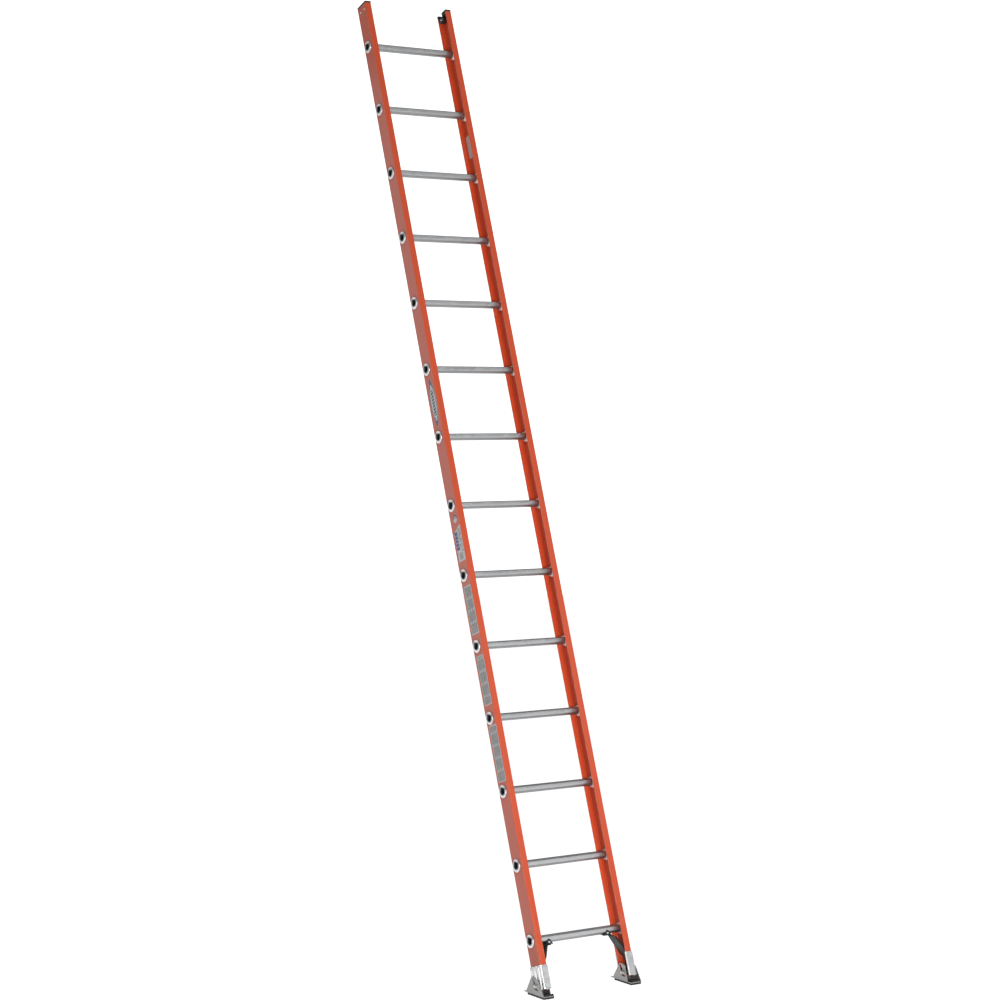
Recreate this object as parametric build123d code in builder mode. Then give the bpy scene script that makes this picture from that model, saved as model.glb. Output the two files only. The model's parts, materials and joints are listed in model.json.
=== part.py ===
"""Straight base section of a fibreglass extension ladder, standing at its working lean on swivel shoes.

World frame: X runs across the rungs, +Y is the way the ladder leans, +Z is up and the floor is Z = 0.
The origin is on the floor under the middle of the ladder's own box. Most pieces are placed in the
rails' own frame, the plane called rails: its origin lies between the two pivot bolts, its x is across
the ladder, its y is the depth of the rails, from the climber's side to the back, and its z runs up the
rails. "Height" means a distance up the rails from the pivot bolts. The pieces of the shoes lie level.
"""
from build123d import *
from math import cos, pi, radians, sin
import os

os.makedirs("parts", exist_ok=True)

# ---- driving dimensions, in millimetres and degrees ----
lean = 18.0                 # rails back from the vertical
overall_width = 443.0       # over the two webs
rung_count = 14
rung_pitch = 304.8          # twelve inches
lowest_rung = 177.0         # height of the lowest rung
rung_depth = 7.0            # the rungs sit this far behind the middle of the rails
rail_top = 4337.0
rail_bottom = -18.0
rail_depth = 76.2
flange_width = 28.6
web_thickness = 4.5
flange_thickness = 4.8
heel_radius = 2.5           # outer corners of the channel
root_radius = 3.0           # inner corners of the channel
lip_radius = 1.2            # edges of the flanges

rung_width = 34.0           # front to back, over the flat tread
rung_tall = 30.0
rung_wall = 2.0
rung_corner = 3.0
tread_grooves = 7
groove_width = 1.6
groove_depth = 0.9
ring_diameter = 54.0
ring_thickness = 2.6
flare_reach = 2.6           # how far the flared end spreads over its ring
flare_thickness = 1.8
collar_diameter = 46.0
collar_thickness = 2.2
collar_neck = 8.0
collar_wall = 2.4
fit_gap = 0.25              # rung to the rings, collars and rails round it

cap_thickness = 8.0
plug_tall = 34.0
plug_gap = 0.9
plug_corner = 17.5
bridge_tall = 9.0           # of the plug, where it reaches forward under the cover
notch_depth = 13.0          # middle of the thumb notch, behind the middle of the rails
notch_radius = 15.5
notch_reach = 11.0          # from the lip into the cover
cap_rivet_drop = 25.0
cap_rivet_depths = (-20.0, 14.0)
cap_rivet_radius = 2.4
boot_rivet_radius = 2.5
boot_rivet_depths = (-7.0, 19.0)
boot_rivet_heights = (18.0, 62.0)
brace_rivet_radius = 3.0
brace_rivet_place = (-7.0, 40.0)
saddle_rivet_radius = 2.5
pad_rivet_radius = 2.5
rivet_gap = 0.1             # rivet to its hole

boot_sheet = 2.0
boot_gap = 0.2              # shield to fibreglass
boot_bottom = -18.6
boot_top = 77.0
rib_reach = 6.5
rib_width = 12.0
rib_depths = (-21.0, 7.0, 31.0)

bolt_radius = 4.75
running_gap = 0.05
slot_gap = 0.3
bolt_height = 44.0          # of the pivot bolts above the floor
shoe_plate = 3.0
pad_thickness = 8.0
ear_thickness = 3.0
outer_ear = 234.5           # inside face of the outer ear, from the middle of the ladder
inner_ear = 189.5           # outside face of the inner ear, from the middle of the ladder
slot_rise = (20.0, 24.0)    # seat to the upper end of the slot: back and up
slot_fall = (-13.0, -14.0)  # seat to the lower end of the slot: forward and down

brace_sheet = 2.5
label_thickness = 0.3
label_width = 57.0
label_depth = -4.0          # middle of the stickers, before the middle of the rails
clear_through = 120.0       # half length of a cut or trim that passes right through

# ---- values worked out from them ----
half_width = overall_width / 2
web_inside = half_width - web_thickness
back_face = rail_depth / 2
rung_radius = rung_width / 2
tread_rise = rung_tall - rung_radius          # rung's round centre to its flat top
round_rise = rung_radius - rung_tall / 2      # rung's middle up to its round centre
plate_top = shoe_plate + pad_thickness
plate_front = -58.0
plate_back = 74.0
spur_back = 92.0
slope = radians(lean)
back_reach = (rail_top + cap_thickness) * sin(slope) + back_face * cos(slope)
foot_y = -(back_reach + plate_front) / 2      # puts the origin under the middle of the whole box
sides = (("left", -1), ("right", 1))

rails = Plane(origin=(0, foot_y, bolt_height), x_dir=(1, 0, 0), z_dir=(0, sin(slope), cos(slope)))


def flank(x, depth=0.0, height=0.0):
    """Plane facing +X, square to the rails: its x is depth and its y runs up the rail."""
    return Plane(origin=rails.from_local_coords((x, depth, height)), x_dir=rails.y_dir, z_dir=(1, 0, 0))


def level(x, depth=0.0, height=0.0):
    """Plane facing +X and level with the floor: its x is world Y and its y is world Z."""
    return Plane(origin=rails.from_local_coords((x, depth, height)), x_dir=(0, 1, 0), z_dir=(1, 0, 0))


def rung_height(number):
    return lowest_rung + number * rung_pitch


def d_face(grow, corner):
    """Round-bottomed, flat-topped outline about the middle of a rung, grown by a margin."""
    radius = rung_radius + grow
    top = rung_tall / 2 + grow
    with BuildSketch() as outline:
        with BuildLine():
            Polyline((-radius, round_rise), (-radius, top), (radius, top), (radius, round_rise))
            ThreePointArc((radius, round_rise), (0, round_rise - radius), (-radius, round_rise))
        make_face()
        fillet(outline.vertices().group_by(Axis.Y)[-1], corner)
    return outline.sketch


rung_outside = d_face(0, rung_corner)
rung_hole = d_face(fit_gap, rung_corner)
rung_inside = d_face(-rung_wall - groove_depth, rung_corner / 2)
flare_outside = d_face(flare_reach, rung_corner + flare_reach)
neck_outside = d_face(collar_wall, rung_corner + collar_wall)


def rivet(radius, head_radius, head_rise, grip):
    """Round rivet along +X: a shank, from grip inside up to the surface, and a low domed head on it."""
    with BuildPart() as pin:
        with BuildSketch(Plane.YZ):
            Circle(head_radius)
        extrude(amount=head_rise)
        fillet(pin.edges().group_by(Axis.X)[-1], head_rise * 0.9)
        with BuildSketch(Plane.YZ):
            Circle(radius)
        extrude(amount=-grip)
    return pin.part


def save(part, label):
    part.label = label
    export_step(part, f"parts/{label}.step")
    return part


# ---- rails ----
def rail(side):
    """Fibreglass channel: a web outside, two flanges pointing in, and the holes punched in the web."""
    middle = side * (half_width - flange_width / 2)
    hollow = side * (half_width - web_thickness - flange_width / 2)
    with BuildPart() as channel:
        with BuildSketch(rails.offset(rail_bottom)) as section:
            with Locations((middle, 0)):
                Rectangle(flange_width, rail_depth)
            outer = section.vertices().group_by(Axis.X)[0 if side < 0 else -1]
            fillet(outer, heel_radius)
            with Locations((hollow, 0)):
                Rectangle(flange_width, rail_depth - 2 * flange_thickness, mode=Mode.SUBTRACT)
            inner = section.vertices().filter_by_position(Axis.X, -web_inside - 0.1, web_inside + 0.1)
            corners = [v for v in inner if abs(abs(v.X) - web_inside) < 0.01]
            fillet(corners, root_radius)
            lips = section.vertices().group_by(Axis.X)[-1 if side < 0 else 0]
            fillet(lips, lip_radius)
        extrude(amount=rail_top - rail_bottom)
        for number in range(rung_count):
            with BuildSketch(level(side * half_width, rung_depth, rung_height(number))):
                add(rung_hole)
            extrude(amount=10, both=True, mode=Mode.SUBTRACT)
        with BuildSketch(flank(side * half_width)):
            Circle(bolt_radius + running_gap)
            with Locations(*cap_rivet_places()):
                Circle(cap_rivet_radius + rivet_gap)
            with Locations(*boot_rivet_places()):
                Circle(boot_rivet_radius + rivet_gap)
            with Locations(brace_rivet_place):
                Circle(brace_rivet_radius + rivet_gap)
        extrude(amount=10, both=True, mode=Mode.SUBTRACT)
    return channel.part


def cap_rivet_places():
    return [(depth, rail_top - cap_rivet_drop) for depth in cap_rivet_depths]


def boot_rivet_places():
    return [(depth, height) for depth in boot_rivet_depths for height in boot_rivet_heights]


for name, side in sides:
    save(rail(side), f"{name}_rail")

# ---- rungs, with their rings and collars ----
rung_half = half_width + ring_thickness + flare_thickness


def rung(number):
    """Hollow D-rung with a grooved tread, its ends flared over the outer rings."""
    height = rung_height(number)
    with BuildPart() as tube:
        with BuildSketch(level(0, rung_depth, height)):
            add(rung_outside)
            with Locations((0, rung_tall / 2)):
                with GridLocations((rung_width - 9) / (tread_grooves - 1), 1, tread_grooves, 1):
                    Rectangle(groove_width, 2 * groove_depth, mode=Mode.SUBTRACT)
            add(rung_inside, mode=Mode.SUBTRACT)
        extrude(amount=rung_half - flare_thickness, both=True)
        for side in (-1, 1):
            with BuildSketch(level(side * rung_half, rung_depth, height)):
                add(flare_outside)
                add(rung_inside, mode=Mode.SUBTRACT)
            extrude(amount=-side * flare_thickness)
    return tube.part


for number in range(rung_count):
    save(rung(number), f"rung_{number + 1:02d}")

with BuildPart() as ring:
    with BuildSketch(Plane.YZ):
        Circle(ring_diameter / 2)
        add(rung_hole, mode=Mode.SUBTRACT)
    extrude(amount=ring_thickness)
    chamfer(ring.edges().filter_by(GeomType.CIRCLE).group_by(Axis.X)[-1].sort_by(SortBy.RADIUS)[-1], 1.2)

with BuildPart() as collar:
    with BuildSketch(Plane.YZ):
        Circle(collar_diameter / 2)
        add(rung_hole, mode=Mode.SUBTRACT)
    extrude(amount=-collar_thickness)
    with BuildSketch(Plane.YZ):
        add(neck_outside)
        add(rung_hole, mode=Mode.SUBTRACT)
    extrude(amount=-collar_neck)


def mirrored(piece, side):
    """The piece as made, or its mirror image for the other side."""
    return piece if side > 0 else mirror(piece, about=Plane.YZ, mode=Mode.PRIVATE)


def on_rungs(x):
    """A level place at each rung, a distance x across the ladder."""
    points = [rails.from_local_coords((x, rung_depth, rung_height(n))) for n in range(rung_count)]
    return [Location(point) for point in points]


for name, side in sides:
    with BuildPart() as rings:
        with Locations(*on_rungs(side * half_width)):
            add(mirrored(ring.part, side))
    save(rings.part, f"{name}_outer_rings")
    with BuildPart() as collars:
        with Locations(*on_rungs(side * web_inside)):
            add(mirrored(collar.part, side))
    save(collars.part, f"{name}_inner_collars")


# ---- end caps ----
def top_cap(side):
    """Moulded cap: a cover flush with the rail, notched from the inside, over a plug in the channel."""
    middle = side * (half_width - flange_width / 2)
    lip = side * (half_width - flange_width)
    plug_width = flange_width - web_thickness - 1.0
    plug_middle = side * (web_inside - plug_gap - plug_width / 2)
    plug_depth = rail_depth / 2 - flange_thickness - plug_gap
    with BuildPart() as cap:
        with BuildSketch(rails.offset(rail_top)) as cover:
            with Locations((middle, 0)):
                Rectangle(flange_width, rail_depth)
            fillet(cover.vertices().group_by(Axis.X)[0 if side < 0 else -1], heel_radius)
        extrude(amount=cap_thickness)
        with BuildSketch(flank(plug_middle - plug_width / 2)) as plug:
            with Locations((plug_depth / 2 - 2, rail_top - plug_tall / 2)):
                Rectangle(plug_depth + 4, plug_tall)
            fillet(plug.vertices().group_by(Axis.Y)[0], plug_corner)
            with Locations((-plug_depth / 2, rail_top - bridge_tall / 2)):
                Rectangle(plug_depth, bridge_tall)
        extrude(amount=plug_width)
        with BuildSketch(rails.offset(rail_top - bridge_tall - 3)):
            with Locations((lip, notch_depth)):
                Rectangle(2 * (notch_reach - 4), 2 * notch_radius)
            with Locations((lip - side * (notch_reach - 4), notch_depth)):
                SlotOverall(2 * notch_radius, 8, rotation=90)
        extrude(amount=2 * bridge_tall + cap_thickness, mode=Mode.SUBTRACT)
        with BuildSketch(flank(side * web_inside)):
            with Locations(*cap_rivet_places()):
                Circle(cap_rivet_radius + rivet_gap)
        extrude(amount=-side * 8, mode=Mode.SUBTRACT)
    return cap.part


for name, side in sides:
    save(top_cap(side), f"{name}_top_cap")

cap_rivet = rivet(cap_rivet_radius, 4.6, 1.8, 12.0)
with BuildPart() as cap_rivets:
    for name, side in sides:
        for depth, height in cap_rivet_places():
            place = Location(rails.from_local_coords((side * half_width, depth, height)))
            with Locations(place):
                add(mirrored(cap_rivet, side))
cap_rivets.part.label = "cap_rivets"
export_step(cap_rivets.part, "parts/cap_rivets.step")


# ---- rail shields ----
def boot(side):
    """Formed sheet round the foot of a rail: over the web, the flanges and their lips, with upright ribs."""
    sheet = boot_sheet + boot_gap
    middle = side * (half_width - flange_width / 2)
    web_middle = side * (half_width - web_thickness - flange_width / 2)
    with BuildPart() as shield:
        with BuildSketch(rails.offset(boot_bottom)) as wrap:
            with Locations((middle, 0)):
                Rectangle(flange_width + 2 * sheet, rail_depth + 2 * sheet)
            fillet(wrap.vertices().group_by(Axis.X)[0 if side < 0 else -1], 4.0)
            with Locations((middle, 0)):
                Rectangle(flange_width + 2 * boot_gap, rail_depth + 2 * boot_gap, mode=Mode.SUBTRACT)
            with Locations((web_middle, 0)):
                Rectangle(flange_width, rail_depth - 2 * flange_thickness, mode=Mode.SUBTRACT)
        extrude(amount=boot_top - boot_bottom)
        for depth in rib_depths:
            with BuildSketch(rails.offset(boot_bottom)):
                with Locations((side * (half_width + sheet - 0.5), depth)):
                    Ellipse(rib_reach + 0.5, rib_width / 2)
                with Locations((side * (half_width - 10), 0)):
                    Rectangle(2 * (10 + boot_gap), rail_depth, mode=Mode.SUBTRACT)
            extrude(amount=boot_top - boot_bottom - 5)
        with BuildSketch(flank(side * half_width)):
            Circle(bolt_radius + running_gap)
            with Locations(*boot_rivet_places()):
                Circle(boot_rivet_radius + rivet_gap)
            with Locations(brace_rivet_place):
                Circle(brace_rivet_radius + rivet_gap)
        extrude(amount=side * 12, mode=Mode.SUBTRACT)
    return shield.part


for name, side in sides:
    save(boot(side), f"{name}_boot")

boot_rivet = rivet(boot_rivet_radius, 4.2, 1.6, web_thickness + boot_sheet + boot_gap)
with BuildPart() as boot_rivets:
    for name, side in sides:
        for depth, height in boot_rivet_places():
            spot = (side * (half_width + boot_sheet + boot_gap), depth, height)
            with Locations(Location(rails.from_local_coords(spot))):
                add(mirrored(boot_rivet, side))
boot_rivets.part.label = "boot_rivets"
export_step(boot_rivets.part, "parts/boot_rivets.step")

# ---- braces under the lowest rung ----
saddle_x = 143.0            # of the rivet through the rung, from the middle of the ladder
saddle_half = 19.0
saddle_gap = rung_radius + 0.3      # middle of the rung to the inside of a saddle ear
saddle_rivet_drop = 7.6
saddle_floor = -rung_tall / 2 - 0.3 - brace_sheet / 2
leg_x = web_inside - 0.2 - brace_sheet / 2
elbow_rise = 54.0           # level height of the elbow over the pivot bolt
flange_rise = 6.5           # turned-up edges of the arm
flange_start = 22.0         # along the arm, from the elbow
flange_end = 10.0           # along the arm, from its top
leg_back = 24.0             # depth of the turned-in edge at the foot of the leg
leg_lip = 17.0              # how far it is turned in
brace_outline = [(-22, -14), (leg_back, -14), (leg_back, 20), (12, 32), (12, 45), (20, 66), (30, 79), (30, 94), (25, 182), (-15, 170),
                 (-31, 106), (-31, 82), (-22, 64)]


def brace(side):
    """Stamped steel: a saddle under the rung, a sloping arm, and a leg down the inside of the web."""
    upright = Plane(origin=rails.origin, x_dir=(1, 0, 0), z_dir=(0, -1, 0))
    under_rung = Plane(origin=level(side * saddle_x, rung_depth, lowest_rung).origin, x_dir=(1, 0, 0),
                       z_dir=(0, -1, 0))
    saddle_rise = (under_rung.origin - rails.origin).Z + saddle_floor
    elbow = Vector(side * leg_x, elbow_rise)
    arm_top = Vector(side * (saddle_x + saddle_half - 1.5), saddle_rise)
    up_arm = (arm_top - elbow).normalized()
    off_arm = Vector(side * up_arm.Y, -side * up_arm.X)
    flange_corners = [elbow + up_arm * flange_start, arm_top - up_arm * flange_end]
    flange_corners += [corner + off_arm * (flange_rise + brace_sheet / 2) for corner in reversed(flange_corners)]
    with BuildPart() as stamping:
        with BuildSketch(upright):
            with BuildLine():
                Polyline(*[(corner.X, corner.Y) for corner in flange_corners], close=True)
            make_face()
        extrude(amount=clear_through, both=True)
        with BuildSketch(flank(side * saddle_x)):
            with BuildLine():
                Polyline(*brace_outline, close=True)
            make_face()
            offset(amount=-brace_sheet)
        extrude(amount=clear_through, both=True, mode=Mode.SUBTRACT)
        with BuildSketch(upright):
            with BuildLine():
                FilletPolyline((side * leg_x, -30), (side * leg_x, elbow_rise), (arm_top.X, arm_top.Y),
                               (side * saddle_x, saddle_rise), radius=8)
            trace(line_width=brace_sheet)
        extrude(amount=clear_through, both=True)
        with BuildSketch(flank(side * saddle_x)):
            with BuildLine():
                Polyline(*brace_outline, close=True)
            make_face()
        extrude(amount=clear_through, both=True, mode=Mode.INTERSECT)
        with BuildSketch(flank(side * leg_x)):
            with Locations((leg_back - brace_sheet / 2, 3)):
                Rectangle(brace_sheet, 34)
        extrude(amount=-side * leg_lip)
        with BuildSketch(under_rung):
            with Locations((0, saddle_floor)):
                Rectangle(2 * saddle_half, brace_sheet)
        extrude(amount=saddle_gap + brace_sheet, both=True)
        for facing in (-1, 1):
            with BuildSketch(under_rung.offset(facing * saddle_gap)) as ear:
                with BuildLine():
                    Polyline((-saddle_half, saddle_floor - brace_sheet / 2), (0, 9),
                             (saddle_half, saddle_floor - brace_sheet / 2), close=True)
                make_face()
                fillet(ear.vertices().group_by(Axis.Y)[-1], 6.5)
            extrude(amount=facing * brace_sheet)
        with BuildSketch(under_rung):
            with Locations((0, -saddle_rivet_drop)):
                Circle(saddle_rivet_radius + rivet_gap)
        extrude(amount=rung_width, both=True, mode=Mode.SUBTRACT)
        with BuildSketch(flank(side * web_inside)):
            Circle(bolt_radius + running_gap)
            with Locations(brace_rivet_place):
                Circle(brace_rivet_radius + rivet_gap)
        extrude(amount=-side * 8, mode=Mode.SUBTRACT)
    return stamping.part


for name, side in sides:
    save(brace(side), f"{name}_brace")

brace_rivet = rivet(brace_rivet_radius, 5.2, 2.2, web_thickness + boot_sheet + boot_gap + brace_sheet + 1.2)
saddle_rivet = rivet(saddle_rivet_radius, 4.6, 2.0, 3.0)
with BuildPart() as brace_rivets:
    for name, side in sides:
        depth, height = brace_rivet_place
        spot = (side * (half_width + boot_sheet + boot_gap), depth, height)
        with Locations(Location(rails.from_local_coords(spot))):
            add(mirrored(brace_rivet, side))
        middle = rails.from_local_coords((side * saddle_x, rung_depth, lowest_rung))
        for facing, turn in ((-1, -90), (1, 90)):
            face = middle + Vector(0, facing * (saddle_gap + brace_sheet), -saddle_rivet_drop)
            with Locations(Location(face, (0, 0, turn))):
                add(saddle_rivet)
brace_rivets.part.label = "brace_rivets"
export_step(brace_rivets.part, "parts/brace_rivets.step")

# ---- pivots ----
washer_thickness = 1.4
washer_gap = 0.3
head_thickness = 5.0
nut_thickness = 7.0
spacer_radius = 8.0
outer_face = outer_ear + ear_thickness
inner_face = inner_ear - ear_thickness
washer_radius = 9.0
across_flats = 13.0
bore = bolt_radius + running_gap
bolt_tip = 2.0              # of the bolt past its nut


def pivot_bolt(side):
    """Round shank along the pivot's axis, with a washer and a hexagon head outside the outer ear."""
    shank_start = inner_face - washer_gap - washer_thickness - nut_thickness - bolt_tip
    washer_start = outer_face + washer_gap
    with BuildPart() as bolt:
        with BuildSketch(flank(side * shank_start)):
            Circle(bolt_radius)
        extrude(amount=side * (washer_start - shank_start))
        with BuildSketch(flank(side * washer_start)):
            Circle(washer_radius)
        extrude(amount=side * washer_thickness)
        with BuildSketch(flank(side * (washer_start + washer_thickness))):
            RegularPolygon(across_flats / 2, 6, major_radius=False)
        extrude(amount=side * head_thickness)
    return bolt.part


def pivot_spacer(side):
    """Tube on the bolt between the inner ear and the brace's leg."""
    start = inner_ear + washer_gap
    end = leg_x - brace_sheet / 2 - washer_gap
    with BuildPart() as spacer:
        with BuildSketch(flank(side * start)):
            Circle(spacer_radius)
            Circle(bore, mode=Mode.SUBTRACT)
        extrude(amount=side * (end - start))
    return spacer.part


def pivot_nut(side):
    """Washer and hexagon nut inside the inner ear."""
    washer_start = inner_face - washer_gap - washer_thickness
    with BuildPart() as nut:
        with BuildSketch(flank(side * washer_start)):
            Circle(washer_radius)
            Circle(bore, mode=Mode.SUBTRACT)
        extrude(amount=side * washer_thickness)
        with BuildSketch(flank(side * washer_start)):
            RegularPolygon(across_flats / 2, 6, major_radius=False)
            Circle(bore, mode=Mode.SUBTRACT)
        extrude(amount=-side * nut_thickness)
    return nut.part


for name, side in sides:
    save(pivot_bolt(side), f"{name}_pivot_bolt")
    save(pivot_spacer(side), f"{name}_pivot_spacer")
    save(pivot_nut(side), f"{name}_pivot_nut")

# ---- shoes: all their sketches are about the pivot's axis, level with the floor ----
plate_level = plate_top - bolt_height
pad_level = pad_thickness - bolt_height
shoe_middle = (outer_face + inner_face) / 2
shoe_width = outer_face - inner_face
outer_ear_outline = [(plate_back, pad_level), (30, 37), (-19, 23), (plate_front, pad_level)]
inner_ear_outline = [(plate_back, pad_level), (24, 35), (-12, 32), (-32, pad_level)]
slot_radius = bolt_radius + slot_gap
hook_path = [(17, 20), (14, 2), (7, -13), slot_fall]
hook_width = 7.5
spur_teeth = 3
slot_length = (slot_rise[0] ** 2 + slot_rise[1] ** 2) ** 0.5
slot_turn = Vector(1, 0).get_angle(Vector(*slot_rise))


def shoe_bracket(side):
    """Pressed steel: slotted ears on a base plate with spur teeth behind."""
    floor = Plane(origin=rails.origin + Vector(side * shoe_middle, 0, pad_level))
    with BuildPart() as bracket:
        with BuildSketch(floor):
            with Locations((0, (plate_front + spur_back) / 2)):
                Rectangle(shoe_width, spur_back - plate_front)
            tooth = shoe_width / spur_teeth
            for number in range(spur_teeth):
                with Locations(((number + 0.5 - spur_teeth / 2) * tooth, spur_back)):
                    RegularPolygon(tooth / 2 / cos(pi / 4), 4, rotation=0, mode=Mode.SUBTRACT)
        extrude(amount=shoe_plate)
        for start, outline in ((outer_ear, outer_ear_outline), (inner_face, inner_ear_outline)):
            with BuildSketch(level(side * start)) as ear:
                with BuildLine():
                    Polyline(*outline, close=True)
                make_face()
                fillet([v for v in ear.vertices() if v.Y > 0], 9)
                with Locations((slot_rise[0] / 2, slot_rise[1] / 2)):
                    SlotCenterToCenter(slot_length, 2 * slot_radius, rotation=slot_turn, mode=Mode.SUBTRACT)
                with Locations(slot_fall):
                    Circle(hook_width / 2, mode=Mode.SUBTRACT)
                with BuildLine():
                    FilletPolyline(*hook_path, radius=5)
                trace(line_width=hook_width, mode=Mode.SUBTRACT)
            extrude(amount=side * ear_thickness)
        with BuildSketch(floor):
            with Locations(*pad_rivet_places):
                Circle(pad_rivet_radius + rivet_gap)
        extrude(amount=shoe_plate, mode=Mode.SUBTRACT)
    return bracket.part


pad_front = plate_front + 1.0
pad_back = 63.0
tread_bars = 6
groove_tall = 3.6
groove_across = 7.0
pad_rivet_grip = 3.0        # of the rivets into the pad
pad_rivet_places = [(x, y) for x in (-12, 12) for y in (-48, 52)]


def shoe_pad(side):
    """Rubber pad under the plate, cut across into tread bars."""
    floor = Plane(origin=rails.origin + Vector(side * shoe_middle, 0, -bolt_height))
    length = pad_back - pad_front
    pitch = length / tread_bars
    with BuildPart() as pad:
        with BuildSketch(floor):
            with Locations((0, (pad_front + pad_back) / 2)):
                RectangleRounded(shoe_width - 1, length, 2)
        extrude(amount=pad_thickness)
        with BuildSketch(Plane(origin=floor.origin, x_dir=(0, 1, 0), z_dir=(1, 0, 0))):
            for number in range(1, tread_bars):
                with Locations((pad_front + number * pitch, 0)):
                    SlotOverall(2 * groove_tall, groove_across, rotation=90)
        extrude(amount=shoe_width, both=True, mode=Mode.SUBTRACT)
        with BuildSketch(floor.offset(pad_thickness - pad_rivet_grip)):
            with Locations(*pad_rivet_places):
                Circle(pad_rivet_radius + rivet_gap)
        extrude(amount=pad_rivet_grip, mode=Mode.SUBTRACT)
    return pad.part


mat_thickness = 2.0
mat_back = -22.0


def shoe_mat(side):
    """Thin rubber mat on the plate in front of the rail."""
    top = Plane(origin=rails.origin + Vector(side * shoe_middle, 0, plate_level))
    with BuildPart() as mat:
        with BuildSketch(top):
            with Locations((0, (plate_front + 1.5 + mat_back) / 2)):
                RectangleRounded(shoe_width - 2 * ear_thickness - 1, mat_back - plate_front - 1.5, 2)
            with Locations(*pad_rivet_places):
                Circle(pad_rivet_radius + rivet_gap, mode=Mode.SUBTRACT)
        extrude(amount=mat_thickness)
    return mat.part


pad_rivet = rivet(pad_rivet_radius, 4.4, 1.5, shoe_plate + pad_rivet_grip - 0.1)
for name, side in sides:
    save(shoe_bracket(side), f"{name}_shoe_bracket")
    save(shoe_pad(side), f"{name}_shoe_pad")
    save(shoe_mat(side), f"{name}_shoe_mat")
    with BuildPart() as pad_rivets:
        for x, y in pad_rivet_places:
            on_mat = mat_thickness if y < mat_back else 0
            spot = rails.origin + Vector(side * shoe_middle + x, y, plate_level + on_mat)
            with Locations(Location(spot, (0, -90, 0))):
                add(pad_rivet)
    save(pad_rivets.part, f"{name}_pad_rivets")

# ---- stickers: thin sheets on the webs, drawn on the outside of the left rail ----
sticker = flank(-half_width)


def label_sheet(name, middle, size, corner=3.0):
    """Plain rounded sticker on the left web: its middle up the rail, and its width and length."""
    with BuildPart() as sheet:
        with BuildSketch(sticker):
            with Locations((label_depth, middle)):
                RectangleRounded(*size, corner)
        extrude(amount=-label_thickness)
    sheet.part.label = name
    export_step(sheet.part, f"parts/{name}.step")


lens_middle = lowest_rung + 2284.0
lens_length = 228.0
lens_width = 50.0
lens_depth = label_depth + 1.0
with BuildPart() as maker_label:
    with BuildSketch(sticker):
        with BuildLine():
            tips = [(lens_depth, lens_middle + end * lens_length / 2) for end in (-1, 1)]
            ThreePointArc(tips[0], (lens_depth - lens_width / 2, lens_middle), tips[1])
            ThreePointArc(tips[1], (lens_depth + lens_width / 2, lens_middle), tips[0])
        make_face()
    extrude(amount=-label_thickness)
maker_label.part.label = "maker_label"
export_step(maker_label.part, "parts/maker_label.step")

rating_bottom = lowest_rung + 1584.0
with BuildPart() as rating_label:
    with BuildSketch(sticker) as outline:
        with BuildLine():
            Polyline((-33, rating_bottom), (22, rating_bottom), (22, rating_bottom + 127),
                     (-33, rating_bottom + 154), close=True)
        make_face()
        fillet(outline.vertices(), 2.5)
    extrude(amount=-label_thickness)
rating_label.part.label = "rating_label"
export_step(rating_label.part, "parts/rating_label.step")

with BuildPart() as size_label:
    with BuildSketch(sticker):
        with Locations((label_depth, lowest_rung + 1768.0)):
            Ellipse(15, 18)
    extrude(amount=-label_thickness)
size_label.part.label = "size_label"
export_step(size_label.part, "parts/size_label.step")

label_sheet("instruction_label_1", lowest_rung + 1373.0, (label_width, 208.0))
label_sheet("instruction_label_2", lowest_rung + 1073.0, (label_width, 209.0))
label_sheet("instruction_label_3", lowest_rung + 766.0, (label_width, 236.0))

with BuildPart() as inner_label:
    with BuildSketch(flank(web_inside)):
        with Locations((7.0, lowest_rung + 3509.0)):
            RectangleRounded(42, 106, 3)
    extrude(amount=-label_thickness)
inner_label.part.label = "inner_label"
export_step(inner_label.part, "parts/inner_label.step")
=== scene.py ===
import bmesh
import bpy
import json
import math
from mathutils import Matrix, Vector


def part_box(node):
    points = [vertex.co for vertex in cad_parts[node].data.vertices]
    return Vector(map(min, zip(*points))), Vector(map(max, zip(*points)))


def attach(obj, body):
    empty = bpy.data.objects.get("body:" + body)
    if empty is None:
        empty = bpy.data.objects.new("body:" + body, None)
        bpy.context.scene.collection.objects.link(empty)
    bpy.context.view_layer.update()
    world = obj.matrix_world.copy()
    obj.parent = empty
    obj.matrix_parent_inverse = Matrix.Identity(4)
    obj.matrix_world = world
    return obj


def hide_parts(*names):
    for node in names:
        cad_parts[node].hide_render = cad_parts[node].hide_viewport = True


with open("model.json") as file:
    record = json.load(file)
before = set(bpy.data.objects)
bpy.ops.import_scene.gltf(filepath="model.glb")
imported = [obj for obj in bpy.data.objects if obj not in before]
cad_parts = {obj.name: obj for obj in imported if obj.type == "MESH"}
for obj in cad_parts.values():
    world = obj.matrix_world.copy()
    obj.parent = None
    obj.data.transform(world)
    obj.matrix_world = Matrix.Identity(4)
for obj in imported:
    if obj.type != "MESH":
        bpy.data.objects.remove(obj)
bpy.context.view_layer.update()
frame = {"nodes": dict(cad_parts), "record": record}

body_of = {node: body for body, nodes in frame["record"]["behaviour"]["bodies"].items() for node in nodes}
sides = (("left", -1), ("right", 1))

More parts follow.
